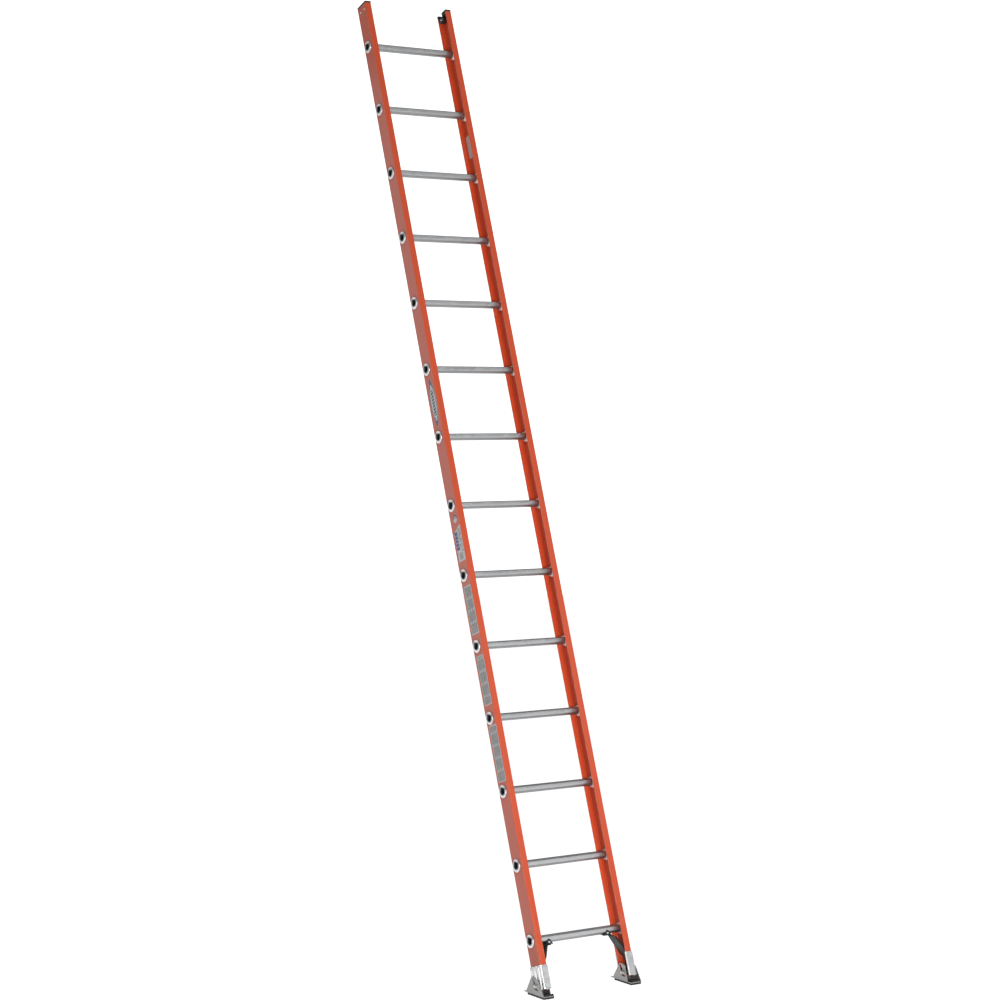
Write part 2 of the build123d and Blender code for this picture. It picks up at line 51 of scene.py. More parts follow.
# ---- Rails ----
# Two channels of pultruded fibreglass: glass rovings and a fine surface veil pulled through a die in
# orange resin. They keep faint streaks along their length, a soft gloss, and scuffs on the flanges.
lean = math.radians(18)
half_width = 0.2215                 # to the outside of a web
rail_depth = 0.0762
flange_width = 0.0286
web_thickness = 0.0045
flange_thickness = 0.0048
bolt_corners = [corner for name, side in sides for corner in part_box(f"{name}_pivot_bolt")]
pivot_middle = sum(bolt_corners, Vector()) / len(bolt_corners)
along_rails = Matrix.Translation(pivot_middle) @ Matrix.Rotation(-lean, 4, "X")
orange = (0.80, 0.088, 0.026)


def on_rails(across, depth, height):
    """A place given across the ladder, through the rail from front to back, and up it from the pivots."""
    return along_rails @ Vector((across, depth, height))


def tint(colour, gain=1.0):
    """A colour socket's four numbers, lighter or darker by the gain."""
    return (*[min(1.0, part * gain) for part in colour], 1.0)


class Flow:
    """A number that comes out of a shader node and can stand in a sum."""

    def __init__(self, finish, socket):
        self.finish = finish
        self.socket = socket

    def worked(self, operation, first, second=0.0):
        return self.finish.node("Math", {"operation": operation}, {0: first, 1: second})

    def __add__(self, other):
        return self.worked("ADD", self, other)

    __radd__ = __add__

    def __sub__(self, other):
        return self.worked("SUBTRACT", self, other)

    def __rsub__(self, other):
        return self.worked("SUBTRACT", other, self)

    def __mul__(self, other):
        return self.worked("MULTIPLY", self, other)

    __rmul__ = __mul__

    def __truediv__(self, other):
        return self.worked("DIVIDE", self, other)

    def __rtruediv__(self, other):
        return self.worked("DIVIDE", other, self)

    def __gt__(self, other):
        return self.worked("GREATER_THAN", self, other)

    def __lt__(self, other):
        return self.worked("LESS_THAN", self, other)

    def __abs__(self):
        return self.worked("ABSOLUTE", self)


class Finish:
    """One material: its main shader, with values for its sockets, and a way to add nodes before it."""

    def __init__(self, name, **values):
        self.material = bpy.data.materials.new(name)
        self.material.use_nodes = True
        self.tree = self.material.node_tree
        self.shader = self.tree.nodes["Principled BSDF"]
        for socket, value in values.items():
            self.shader.inputs[socket.replace("_", " ")].default_value = value

    def node(self, kind, settings=None, sockets=None, output=0):
        """Any node by its type: its settings first, then a value or a link for each socket."""
        made = self.tree.nodes.new("ShaderNode" + kind)
        for key, value in (settings or {}).items():
            if key == "stops":
                ramp = made.color_ramp
                while len(ramp.elements) < len(value):
                    ramp.elements.new(1.0)
                for element, (at, colour) in zip(ramp.elements, value):
                    element.position = at
                    element.color = colour
            else:
                setattr(made, key, value)
        for key, value in (sockets or {}).items():
            if isinstance(value, Flow):
                self.tree.links.new(value.socket, made.inputs[key])
            else:
                made.inputs[key].default_value = value
        return Flow(self, made.outputs[output])

    def feed(self, socket, flow):
        self.tree.links.new(flow.socket, self.shader.inputs[socket])

    def object_mm(self):
        """Object coordinates, in millimetres."""
        place = self.node("TexCoord", output="Object")
        return self.node("VectorMath", {"operation": "SCALE"}, {0: place, "Scale": 1000.0})

    def rails_mm(self):
        """Millimetres across the ladder, through the rail's depth and up the rail from the pivots."""
        place = self.node("TexCoord", output="Object")
        turned = {"Vector": place, "Location": pivot_middle, "Rotation": (-lean, 0.0, 0.0)}
        local = self.node("Mapping", {"vector_type": "TEXTURE"}, turned)
        return self.node("VectorMath", {"operation": "SCALE"}, {0: local, "Scale": 1000.0})

    def split(self, vector):
        return [self.node("SeparateXYZ", None, {0: vector}, output) for output in range(3)]

    def scaled(self, vector, factors):
        return self.node("VectorMath", {"operation": "MULTIPLY"}, {0: vector, 1: factors})

    def noise(self, vector, sizes, detail=3.0, roughness=0.5, distortion=0.0):
        """Soft noise whose lumps have these sizes, in millimetres, along the three directions."""
        stretched = self.scaled(vector, tuple(1.0 / size for size in sizes))
        values = {"Vector": stretched, "Scale": 1.0, "Detail": detail, "Roughness": roughness,
                  "Distortion": distortion}
        return self.node("TexNoise", {"noise_dimensions": "3D"}, values)

    def ease(self, value, low, high, first=0.0, last=1.0):
        """The value's rise from low to high, smoothed, as a rise from first to last."""
        values = {"Value": value, "From Min": low, "From Max": high, "To Min": first, "To Max": last}
        return self.node("MapRange", {"interpolation_type": "SMOOTHSTEP", "clamp": True}, values)

    def between(self, value, low, high, soft=0.15):
        """1 where the value lies between low and high, 0 outside, over a soft edge."""
        return self.ease(value, low - soft, low + soft) * self.ease(value, high - soft, high + soft, 1.0, 0.0)

    def mix(self, factor, first, second):
        """Two colours, the second over the first by the factor."""
        values = {0: factor, 6: first, 7: second}
        return self.node("Mix", {"data_type": "RGBA", "clamp_factor": True}, values, 2)

    def bump(self, height, rise, below=None):
        """The surface's normal over a height of 0 to 1 that stands for this rise in millimetres."""
        values = {"Height": height, "Strength": 1.0, "Distance": rise / 1000.0}
        if below:
            values["Normal"] = below
        return self.node("Bump", None, values)

    def edges(self, reach):
        """About 0 on flat faces, rising to 1 on corners rounder than this reach, in millimetres."""
        round_normal = self.node("Bevel", {"samples": 4}, {"Radius": reach / 1000.0})
        true_normal = self.node("NewGeometry", output="Normal")
        normals = {0: round_normal, 1: true_normal}
        along = self.node("VectorMath", {"operation": "DOT_PRODUCT"}, normals, "Value")
        return self.ease(1.0 - along, 0.02, 0.22)


def dress(node, finish):
    """The finish on a node that keeps its own shape."""
    for slot in frame["nodes"][node].material_slots:
        slot.link = "OBJECT"
        slot.material = finish.material


rung_pitch = 304.8                  # millimetres, as the finishes measure
first_rung = 177.0


def fibreglass():
    """Orange resin over glass rovings: streaks along the rail, scuffs, worn corners, settled dust, and a
    painted sheen that greys the outside of the webs.
    """
    finish = Finish("fibreglass", IOR=1.5, Coat_Roughness=0.12, Coat_IOR=1.5)
    place = finish.rails_mm()
    across, depth, height = finish.split(place)
    roving = finish.noise(place, (5.0, 5.0, 900.0), 2.0)
    strand = finish.noise(place, (0.9, 0.9, 160.0), 3.0, 0.6)
    veil = finish.noise(place, (2.2, 2.2, 3.4), 4.0, 0.65, 1.4)
    cloud = finish.noise(place, (60.0, 60.0, 420.0), 2.0)
    scratch = finish.ease(finish.noise(place, (0.5, 0.5, 70.0), 2.0, 0.6), 0.66, 0.74)
    patch = finish.ease(finish.noise(place, (24.0, 24.0, 90.0), 3.0), 0.5, 0.68)
    scuff = scratch * patch
    lip = finish.ease(abs(across), 193.2, 194.2, 1.0, 0.0)
    corner = finish.ease(abs(across), 219.6, 221.4) * finish.ease(abs(depth), 36.4, 38.0)
    worn = finish.ease(finish.noise(place, (3.0, 3.0, 30.0), 3.0), 0.46, 0.62) * (lip * 0.5 + corner * 0.35)
    beat = finish.node("Math", {"operation": "PINGPONG"}, {0: height - first_rung, 1: rung_pitch / 2})
    reach = finish.node("Math", {"operation": "SQRT"}, {0: beat * beat + (depth - 7.0) * (depth - 7.0)})
    halo = finish.ease(reach, 26.0, 44.0, 1.0, 0.0) * finish.ease(abs(across), 216.0, 217.0)
    settled = finish.ease(finish.noise(place, (40.0, 40.0, 60.0), 4.0), 0.4, 0.7)
    dust = finish.ease(height, -20.0, 420.0, 1.0, 0.0) * settled
    speck = finish.ease(finish.noise(place, (1.6, 1.6, 2.2), 1.0), 0.7, 0.76)
    grain = (roving - 0.5) * 0.34 + (strand - 0.5) * 0.22 + (veil - 0.5) * 0.16 + (cloud - 0.5) * 0.30 + 0.5
    colour = finish.mix(grain, tint(orange, 0.78), tint((0.90, 0.118, 0.034)))
    # Painted sheen: the outer face of each web is mixed a little towards grey, standing in for a pale
    # reflection that washes out its orange.
    outside = finish.ease(abs(across), 220.9, 221.3)
    colour = finish.mix(outside * 0.10, colour, (0.45, 0.42, 0.40, 1.0))
    colour = finish.mix(halo * 0.35, colour, (0.30, 0.060, 0.034, 1.0))
    colour = finish.mix(worn + scuff * 0.28, colour, (0.90, 0.36, 0.22, 1.0))
    colour = finish.mix(dust * 0.22, colour, (0.42, 0.33, 0.27, 1.0))
    colour = finish.mix(speck * 0.18, colour, (0.95, 0.42, 0.28, 1.0))
    finish.feed("Base Color", colour)
    finish.feed("Roughness", (strand - 0.5) * 0.25 + (veil - 0.5) * 0.18 + scuff * 0.2 + dust * 0.25 + 0.42)
    finish.feed("Coat Weight", finish.ease(dust + scuff + halo * 0.5, 0.0, 0.8, 0.30, 0.04))
    weave = finish.bump(veil, 0.05, finish.bump(strand + roving * 1.5, 0.06))
    finish.feed("Normal", finish.bump(1.0 - scuff, 0.03, weave))
    return finish


fibreglass_orange = fibreglass()
for name, side in sides:
    dress(f"{name}_rail", fibreglass_orange)

# ---- Rungs ----
# Extruded aluminium tubes with a flat, fluted tread on top of a round belly. Each one runs through both
# webs and is pressed open over the outer rings at its ends. The tread's flutes are notched for grip.
tube_radius = 0.017
tube_top = 0.015
belly_rise = 0.002                  # from the middle of the tube up to its round centre
tube_wall = 0.0029
flutes = 7
flute_pitch = 0.025 / 6
flute_width = 0.0016
flute_depth = 0.0009
ring_thickness = 0.0026
flare_reach = 0.0026
flare_end = 0.0044                  # outside of a flared end, from the web
flare_run = 0.012                   # how far in from the web's outside the tube is worked
rung_count = 14
first_low, first_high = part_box("rung_01")
last_low, last_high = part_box(f"rung_{rung_count:02d}")
first_middle = (first_low + first_high) / 2
rung_step = ((last_low + last_high) / 2 - first_middle) / (rung_count - 1)


def tread_line():
    """Across the tread, front to back: places and whether each lies in the bottom of a flute."""
    line = []
    for number in range(flutes):
        middle = (number - (flutes - 1) / 2) * flute_pitch
        half = flute_width / 2
        line += [(middle - half - 0.00025, 0), (middle - half, 0.3), (middle - half + 0.0002, 1), (middle, 1),
                 (middle + half - 0.0002, 1), (middle + half, 0.3), (middle + half + 0.00025, 0)]
    return line


def tube_outline(grow, fluted=1.0, corner=0.003):
    """Outline of the tube, grown by a margin: flat on top with its flutes, and round below."""
    radius = tube_radius + grow
    top = tube_top + grow
    corner = max(0.0008, corner + min(grow, 0.0))
    shrink = (radius - corner) / (tube_radius - 0.003)
    points = [(y * shrink, top - flute_depth * deep * fluted) for y, deep in tread_line()]
    steps = 5
    for step in range(steps + 1):
        turn = math.radians(90 - 90 * step / steps)
        points.append((radius - corner + corner * math.cos(turn), top - corner + corner * math.sin(turn)))
    belly_steps = 32
    for step in range(belly_steps + 1):
        turn = math.radians(-180 * step / belly_steps)
        points.append((radius * math.cos(turn), belly_rise + radius * math.sin(turn)))
    for step in range(steps + 1):
        turn = math.radians(180 - 90 * step / steps)
        points.append((-radius + corner + corner * math.cos(turn), top - corner + corner * math.sin(turn)))
    return points


def skin(loops, closed=True, round_loops=True, capped=False):
    """Mesh through loops of points of the same number; closed joins the last loop to the first."""
    bm = bmesh.new()
    rows = [[bm.verts.new(point) for point in loop] for loop in loops]
    count = len(rows[0])
    spans = range(len(rows) if closed else len(rows) - 1)
    steps = range(count if round_loops else count - 1)
    for row in spans:
        here, there = rows[row], rows[(row + 1) % len(rows)]
        for step in steps:
            after = (step + 1) % count
            bm.faces.new((here[step], here[after], there[after], there[step]))
    if capped:
        bm.faces.new(rows[0])
        bm.faces.new(rows[-1])
    return bm


def mesh_of(name, bm, sharp=38, merge=1e-7):
    """A mesh from bmesh work: doubles merged, faces outwards, smooth but for its sharp edges."""
    bmesh.ops.remove_doubles(bm, verts=bm.verts, dist=merge)
    bmesh.ops.recalc_face_normals(bm, faces=bm.faces)
    for face in bm.faces:
        face.smooth = True
    for edge in bm.edges:
        edge.smooth = len(edge.link_faces) == 2 and edge.calc_face_angle(0.0) < math.radians(sharp)
    mesh = bpy.data.meshes.new(name)
    bm.to_mesh(mesh)
    bm.free()
    return mesh


def put(name, mesh):
    """A new object in the scene, at the origin."""
    thing = bpy.data.objects.new(name, mesh)
    bpy.context.scene.collection.objects.link(thing)
    return thing


def finished(thing, name=None):
    """The object with its modifiers worked into a plain mesh, under this name."""
    bpy.context.view_layer.update()
    evaluated = thing.evaluated_get(bpy.context.evaluated_depsgraph_get())
    mesh = bpy.data.meshes.new_from_object(evaluated)
    label = name or thing.name
    bpy.data.objects.remove(thing)
    result = put(label, mesh)
    mesh.name = label
    return result


def stands_for(piece, slot_name, *nodes):
    """The piece rides with the body of the nodes that it stands for, which are hidden; its slot name is not
    used.
    """
    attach(piece, body_of[nodes[0]])
    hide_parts(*nodes)


def node_tree(name, inputs):
    """An empty geometry tree with named inputs, and a maker of nodes in it."""
    tree = bpy.data.node_groups.new(name, "GeometryNodeTree")
    for label, kind in inputs:
        tree.interface.new_socket(label, in_out="INPUT", socket_type="NodeSocket" + kind)
    tree.interface.new_socket("Geometry", in_out="OUTPUT", socket_type="NodeSocketGeometry")
    given = tree.nodes.new("NodeGroupInput")

    def make(kind, settings=None, links=None):
        made = tree.nodes.new(kind)
        for key, value in (settings or {}).items():
            setattr(made, key, value)
        for key, value in (links or {}).items():
            if isinstance(value, bpy.types.NodeSocket):
                tree.links.new(value, made.inputs[key])
            else:
                made.inputs[key].default_value = value
        return made

    return tree, given.outputs, make


def ends_in(tree, make, instances, finish):
    """The tree's last nodes: a random tone for each instance, then real faces with their finish."""
    tone = make("FunctionNodeRandomValue", {"data_type": "FLOAT"}, {"Seed": 7})
    marked = make("GeometryNodeStoreNamedAttribute", {"data_type": "FLOAT", "domain": "INSTANCE"},
                  {"Geometry": instances, "Name": "tone", "Value": tone.outputs[1]})
    real = make("GeometryNodeRealizeInstances", None, {"Geometry": marked.outputs[0]})
    coated = make("GeometryNodeSetMaterial", None, {"Geometry": real.outputs[0], "Material": finish})
    last = tree.nodes.new("NodeGroupOutput")
    tree.links.new(coated.outputs[0], last.inputs[0])


def ladder_row_tree():
    """Copies of an item in a straight row: a count, a first place and the step between two."""
    tree, given, make = node_tree("row", (("Item", "Object"), ("Count", "Int"), ("Start", "Vector"),
                                          ("Step", "Vector"), ("Finish", "Material")))
    line = make("GeometryNodeMeshLine", {"mode": "OFFSET"},
                {"Count": given["Count"], "Start Location": given["Start"], "Offset": given["Step"]})
    item = make("GeometryNodeObjectInfo", None, {"Object": given["Item"], "As Instance": True})
    copies = make("GeometryNodeInstanceOnPoints", None,
                  {"Points": line.outputs[0], "Instance": item.outputs["Geometry"]})
    ends_in(tree, make, copies.outputs[0], given["Finish"])
    return tree


def grown(name, tree, values, base=None):
    """The tree's result as a plain mesh of its own, from the values of its named inputs."""
    thing = put(name + "_source", base or bpy.data.meshes.new(name + "_source"))
    modifier = thing.modifiers.new("tree", "NODES")
    modifier.node_group = tree
    for entry in tree.interface.items_tree:
        if entry.in_out == "INPUT" and entry.name in values:
            modifier[entry.identifier] = values[entry.name]
    return finished(thing, name)


def rung_mesh():
    """One rung along X about its own middle: the outside from end to end, then the bore back."""
    end = half_width + flare_end
    step_in = half_width + ring_thickness
    rim = [(end, 0.55), (end - 0.0001, 0.85), (end - 0.0006, 1.0), (end - 0.0012, 0.92),
           (step_in + 0.0001, 0.62), (step_in - 0.0004, 0.2), (step_in - 0.0014, 0.04)]
    half = [(x, tube_outline(flare_reach * share, 1.0 - share)) for x, share in rim]
    half += [(half_width - flare_run, tube_outline(0.0))]
    bore = [(end - 0.0001, tube_outline(flare_reach * 0.3, 0.0, 0.0025)),
            (end - 0.0008, tube_outline(0.0, 0.0)),
            (step_in - 0.001, tube_outline(-tube_wall * 0.8, 0.0)),
            (half_width - flare_run, tube_outline(-tube_wall, 0.0))]
    loops = half + [(-x, outline) for x, outline in reversed(half)]
    loops += [(-x, outline) for x, outline in bore] + [(x, outline) for x, outline in reversed(bore)]
    bm = skin([[(x, y, z) for y, z in outline] for x, outline in loops])
    mesh = mesh_of("rung", bm, 45)
    # The bore attribute marks the vertices inside the tube, where the finish paints a near black painted
    # shade.
    painted_shade_bore = mesh.attributes.new("bore", "FLOAT", "POINT")
    skin_reach = tube_radius - tube_wall / 2
    for vertex in mesh.vertices:
        x, y, z = vertex.co
        inside = math.hypot(y, min(0.0, z - belly_rise)) < skin_reach and z < tube_top - tube_wall / 2
        painted_shade_bore.data[vertex.index].value = 1.0 if inside else 0.0
    return mesh


def rolled_aluminium(name, grey, streak_sizes, notch=0.0, wear=0.5):
    """Mill-finish aluminium with drawing lines one way, dull bloom in patches and fine handling marks, a near
    black painted shade inside the bore, and with notches, painted shade on the underside.
    """
    finish = Finish(name, Metallic=1.0)
    place = finish.object_mm()
    across = finish.split(place)[0]
    drawn = finish.noise(place, streak_sizes, 3.0, 0.6)
    bloom = finish.noise(place, (26.0, 26.0, 26.0), 4.0, 0.6)
    fleck = finish.ease(finish.noise(place, (1.4, 1.4, 1.4), 2.0), 0.62, 0.72)
    tone = finish.node("Attribute", {"attribute_name": "tone"}, None, "Fac")
    shade = (drawn - 0.5) * 0.5 + (bloom - 0.5) * 0.7 + (tone - 0.5) * 0.22 + 0.5
    colour = finish.mix(shade, tint(grey, 0.80), tint(grey, 1.12))
    colour = finish.mix(fleck * wear * 0.5, colour, tint(grey, 0.62))
    # Painted shade: the inside of the bore is made near black and not metallic.
    bore = finish.node("Attribute", {"attribute_name": "bore"}, None, "Fac")
    finish.feed("Roughness", (drawn - 0.5) * 0.30 + (bloom - 0.5) * 0.35 + fleck * 0.12 + 0.40)
    normal = finish.bump(drawn, 0.035, finish.bump(bloom, 0.05))
    if notch:
        ridge = finish.node("Math", {"operation": "PINGPONG"}, {0: across, 1: notch / 2})
        # Painted shade: faces that turn downwards are darkened, standing in for the shade under each rung's
        # belly.
        up = finish.split(finish.node("NewGeometry", output="True Normal"))[2]
        painted_shade_underside = finish.ease(up, -0.45, -0.02, 1.0, 0.0)
        colour = finish.mix(painted_shade_underside * 0.8, colour, tint(grey, 0.50))
        cut = finish.ease(ridge, 0.15, 0.55, 1.0, 0.0) * finish.ease(up, 0.8, 0.95)
        normal = finish.bump(1.0 - cut, 0.35, normal)
    finish.feed("Base Color", finish.mix(bore, colour, (0.035, 0.035, 0.036, 1.0)))
    finish.feed("Metallic", 1.0 - bore * 0.9)
    finish.feed("Normal", normal)
    return finish


rung_aluminium = rolled_aluminium("rung_aluminium", (0.50, 0.51, 0.52), (120.0, 0.9, 0.9), notch=3.2)
row_tree = ladder_row_tree()
rung_item = put("rung_item", rung_mesh())
rungs = grown("rungs", row_tree, {"Item": rung_item, "Count": rung_count, "Start": first_middle,
                                  "Step": rung_step, "Finish": rung_aluminium.material})
bpy.data.objects.remove(rung_item)
stands_for(rungs, "rung_aluminium", *[f"rung_{number + 1:02d}" for number in range(rung_count)])

# ---- Outer rings and inner collars ----
# Pressed aluminium plates that clamp each web between them: a round ring outside, under the flared end of
# the rung, and inside the web a smaller plate with a short neck drawn up round the tube.
ring_radius = 0.027
collar_radius = 0.023
collar_thickness = 0.0022
collar_neck = 0.008
collar_wall = 0.0024
press_gap = 0.00025
widest_opening = 0.0214             # from the middle to the rounded corners beside the tread


def opening():
    """The hole round a tube as evenly turned points, and the turn of each."""
    steps = 72
    points = []
    for step in range(steps):
        turn = 2 * math.pi * step / steps
        y, z = math.cos(turn), math.sin(turn)
        reach_flat = (tube_top + press_gap) / z if z > 0 else math.inf
        reach_side = (tube_radius + press_gap) / abs(y) if abs(y) > 1e-6 else math.inf
        below = tube_radius + press_gap
        drop = belly_rise * z
        reach_round = drop + math.sqrt(max(0.0, drop * drop + below * below - belly_rise * belly_rise))
        reach = min(reach_flat, reach_side) if belly_rise < reach_round * z else reach_round
        points.append((turn, min(reach, reach_flat, widest_opening)))
    return points


def plate_mesh(name, outside, stations, side):
    """A pressed plate on the YZ plane through stations: how far out from the hole, and its height."""
    loops = []
    for share, extra, rise in stations:
        loop = []
        for turn, hole in opening():
            reach = hole + (outside - hole) * share + extra
            loop.append((side * rise, reach * math.cos(turn), reach * math.sin(turn)))
        loops.append(loop)
    return mesh_of(name, skin(loops), 50)


ring_stations = ((0.0, 0.0, 0.0), (0.0, 0.0, 0.0022), (0.0, 0.0004, ring_thickness),
                 (0.42, 0.0, ring_thickness), (0.52, 0.0, 0.0023), (0.66, 0.0, 0.0022),
                 (0.78, 0.0, 0.0025), (0.90, 0.0, 0.0024), (0.96, 0.0, 0.0019), (0.99, 0.0, 0.0011),
                 (1.0, 0.0, 0.0004), (0.995, 0.0, 0.0))
collar_stations = ((0.0, 0.0, 0.0), (0.0, 0.0, collar_neck - 0.0004), (0.0, 0.0004, collar_neck),
                   (0.0, collar_wall - 0.0006, collar_neck),
                   (0.0, collar_wall - 0.0001, collar_neck - 0.0005), (0.0, collar_wall, 0.0045),
                   (0.0, 0.0028, 0.0034), (0.0, 0.0040, 0.0024), (0.86, 0.0, collar_thickness),
                   (0.96, 0.0, collar_thickness - 0.0003),
                   (1.0, 0.0, 0.0010), (1.0, 0.0, 0.0))
ring_aluminium = rolled_aluminium("ring_aluminium", (0.74, 0.75, 0.76), (2.2, 2.2, 2.2), wear=0.9)
for name, side in sides:
    for label, outside, stations, across, away in (
            ("outer_rings", ring_radius, ring_stations, half_width, side),
            ("inner_collars", collar_radius, collar_stations, half_width - web_thickness, -side)):
        item = put(label + "_item", plate_mesh(label, outside, stations, away))
        start = first_middle + Vector((side * across, 0, 0))
        plates = grown(f"{name}_{label}_plates", row_tree,
                       {"Item": item, "Count": rung_count, "Start": start, "Step": rung_step,
                        "Finish": ring_aluminium.material})
        bpy.data.objects.remove(item)
        stands_for(plates, "ring_aluminium", f"{name}_{label}")

# ---- End caps ----
# Black moulded nylon covers on the tops of the rails, each with a plug that fills the channel and a notch
# on its inner side. The mould leaves a fine grain, and two rivets through the web hold each one.


def eased(name, node, radius, segments=2, sharp=32, cutter=None):
    """The node's shape as one joined mesh, less the cutter's, with its sharp edges rounded over."""
    bm = bmesh.new()
    bm.from_mesh(frame["nodes"][node].data)
    bmesh.ops.remove_doubles(bm, verts=bm.verts, dist=2e-6)
    bmesh.ops.dissolve_limit(bm, angle_limit=math.radians(0.6), verts=bm.verts, edges=bm.edges)
    thing = put(name, mesh_of(name, bm, sharp))
    if cutter:
        cut = thing.modifiers.new("cut", "BOOLEAN")
        cut.operation = "DIFFERENCE"
        cut.solver = "EXACT"
        cut.object = cutter
    bevel = thing.modifiers.new("rounding", "BEVEL")
    bevel.width = radius
    bevel.segments = segments
    bevel.limit_method = "ANGLE"
    bevel.angle_limit = math.radians(sharp)
    bevel.miter_outer = "MITER_ARC"
    return finished(thing)


def coat_with(piece, finish):
    """The finish as the piece's only material."""
    piece.data.materials.clear()
    piece.data.materials.append(finish.material)


def moulded_nylon():
    """Black nylon with a fine mould grain, faint clouds and corners rubbed grey."""
    finish = Finish("moulded_nylon", IOR=1.5)
    place = finish.object_mm()
    grain = finish.noise(place, (0.5, 0.5, 0.5), 3.0, 0.6)
    cloud = finish.noise(place, (14.0, 14.0, 14.0), 3.0)
    rubbed = finish.edges(0.9) * finish.ease(finish.noise(place, (5.0, 5.0, 5.0), 3.0), 0.4, 0.62)
    shade = (cloud - 0.5) * 0.6 + (grain - 0.5) * 0.5 + 0.5
    colour = finish.mix(shade, (0.012, 0.012, 0.013, 1.0), (0.030, 0.030, 0.032, 1.0))
    finish.feed("Base Color", finish.mix(rubbed * 0.5, colour, (0.10, 0.10, 0.105, 1.0)))
    finish.feed("Roughness", (grain - 0.5) * 0.3 + (cloud - 0.5) * 0.2 + rubbed * 0.15 + 0.46)
    finish.feed("Normal", finish.bump(grain, 0.05, finish.bump(cloud, 0.12)))
    return finish


rail_top = 4.337
cap_rivet_height = rail_top - 0.025
plug_face = 0.1930                  # inner side of a cap's plug, across the ladder
notch_front = -0.0025
notch_back = 0.0285
notch_floor = rail_top - 0.012
notch_radius = 0.006


def thumb_notch(side):
    """What a thumb clears in a cap: a round-fronted slot from the lip almost to the web."""
    start = half_width - flange_width - 0.003
    end = half_width - web_thickness - 0.0012
    outline = [(start, notch_front), (end - notch_radius, notch_front)]
    for step in range(1, 9):
        turn = math.radians(-90 + 90 * step / 8)
        outline.append((end - notch_radius + notch_radius * math.cos(turn),
                        notch_front + notch_radius + notch_radius * math.sin(turn)))
    outline += [(end, notch_back), (start, notch_back)]
    levels = [[on_rails(side * x, depth, height) for x, depth in outline]
              for height in (notch_floor, rail_top + 0.03)]
    return put("notch", mesh_of("notch", skin(levels, closed=False, capped=True)))


cap_nylon = moulded_nylon()
for name, side in sides:
    notch = thumb_notch(side)
    cap = eased(f"{name}_end_cap", f"{name}_top_cap", 0.0009, 3, cutter=notch)
    bpy.data.objects.remove(notch)
    coat_with(cap, cap_nylon)
    stands_for(cap, "cap_plastic", f"{name}_top_cap")


def set_out_tree():
    """Copies of an item on given points, each one turned to face the way that its point says."""
    inputs = (("Points", "Geometry"), ("Item", "Object"), ("Finish", "Material"))
    tree, given, make = node_tree("set_out", inputs)
    way = make("GeometryNodeInputNamedAttribute", {"data_type": "FLOAT_VECTOR"}, {"Name": "facing"})
    turn = make("FunctionNodeAlignRotationToVector", {"axis": "X"}, {"Vector": way.outputs[0]})
    item = make("GeometryNodeObjectInfo", None, {"Object": given["Item"], "As Instance": True})
    copies = make("GeometryNodeInstanceOnPoints", None,
                  {"Points": given["Points"], "Instance": item.outputs["Geometry"],
                   "Rotation": turn.outputs[0]})
    ends_in(tree, make, copies.outputs[0], given["Finish"])
    return tree


def turned(profile, steps=24):
    """A solid turned about X through places along it and their radii."""
    bm = bmesh.new()
    rows = []
    for x, radius in profile:
        turns = [2 * math.pi * step / steps for step in range(steps)]
        rows.append([bm.verts.new((x, radius * math.cos(turn), radius * math.sin(turn))) for turn in turns])
    for here, there in zip(rows, rows[1:]):
        for step in range(steps):
            after = (step + 1) % steps
            bm.faces.new((here[step], here[after], there[after], there[step]))
    for row, (x, radius) in ((rows[0], profile[0]), (rows[-1], profile[-1])):
        if radius > 1e-6:
            bm.faces.new(row)
    return bm


def rivet_profile(radius, rise, grip):
    """A set blind rivet: a sunk mandrel end in the middle of a low dome, a thin rim, and the shank."""
    shank = radius * 0.55
    dome = [(rise * 0.62, 0.0), (rise * 0.62, radius * 0.22), (rise * 0.97, radius * 0.27)]
    dome += [(rise, radius * 0.38)]
    for turn in map(math.radians, (15, 35, 55, 75, 90)):
        dome.append((rise * (0.30 + 0.68 * math.cos(turn)), radius * (0.4 + 0.58 * math.sin(turn))))
    return dome + [(0.0, radius), (0.0, shank), (-grip, shank), (-grip, 0.0)]


def points_mesh(places):
    """Loose points with the way that each one faces."""
    mesh = bpy.data.meshes.new("places")
    mesh.from_pydata([place for place, facing in places], [], [])
    facing_data = mesh.attributes.new("facing", "FLOAT_VECTOR", "POINT")
    for number, (place, facing) in enumerate(places):
        facing_data.data[number].vector = facing
    return mesh


def plated_steel(name, light, dark, rough=0.38, spot=(5.0, 5.0, 5.0), wear=1.0, metal=1.0):
    """Zinc-plated steel: a faint cloudy spangle, tiny pits and brighter rubbed corners."""
    finish = Finish(name, Metallic=metal)
    place = finish.object_mm()
    cloud = finish.noise(place, spot, 3.0, 0.55)
    fine = finish.noise(place, (0.7, 0.7, 0.7), 3.0, 0.6)
    pit = finish.ease(finish.noise(place, (1.3, 1.3, 1.3), 1.0), 0.66, 0.74)
    rubbed = finish.edges(1.0) * finish.ease(finish.noise(place, (6.0, 6.0, 6.0), 3.0), 0.38, 0.6)
    colour = finish.mix((cloud - 0.5) * 1.3 + (fine - 0.5) * 0.5 + 0.5, (*dark, 1.0), (*light, 1.0))
    colour = finish.mix(pit * 0.55, colour, tint(dark, 0.45))
    finish.feed("Base Color", finish.mix(rubbed * 0.6 * wear, colour, tint(light, 1.2)))
    finish.feed("Roughness", (cloud - 0.5) * 0.3 + (fine - 0.5) * 0.2 + pit * 0.2 - rubbed * 0.12 + rough)
    finish.feed("Normal", finish.bump(fine, 0.04, finish.bump(1.0 - pit, 0.08)))
    return finish


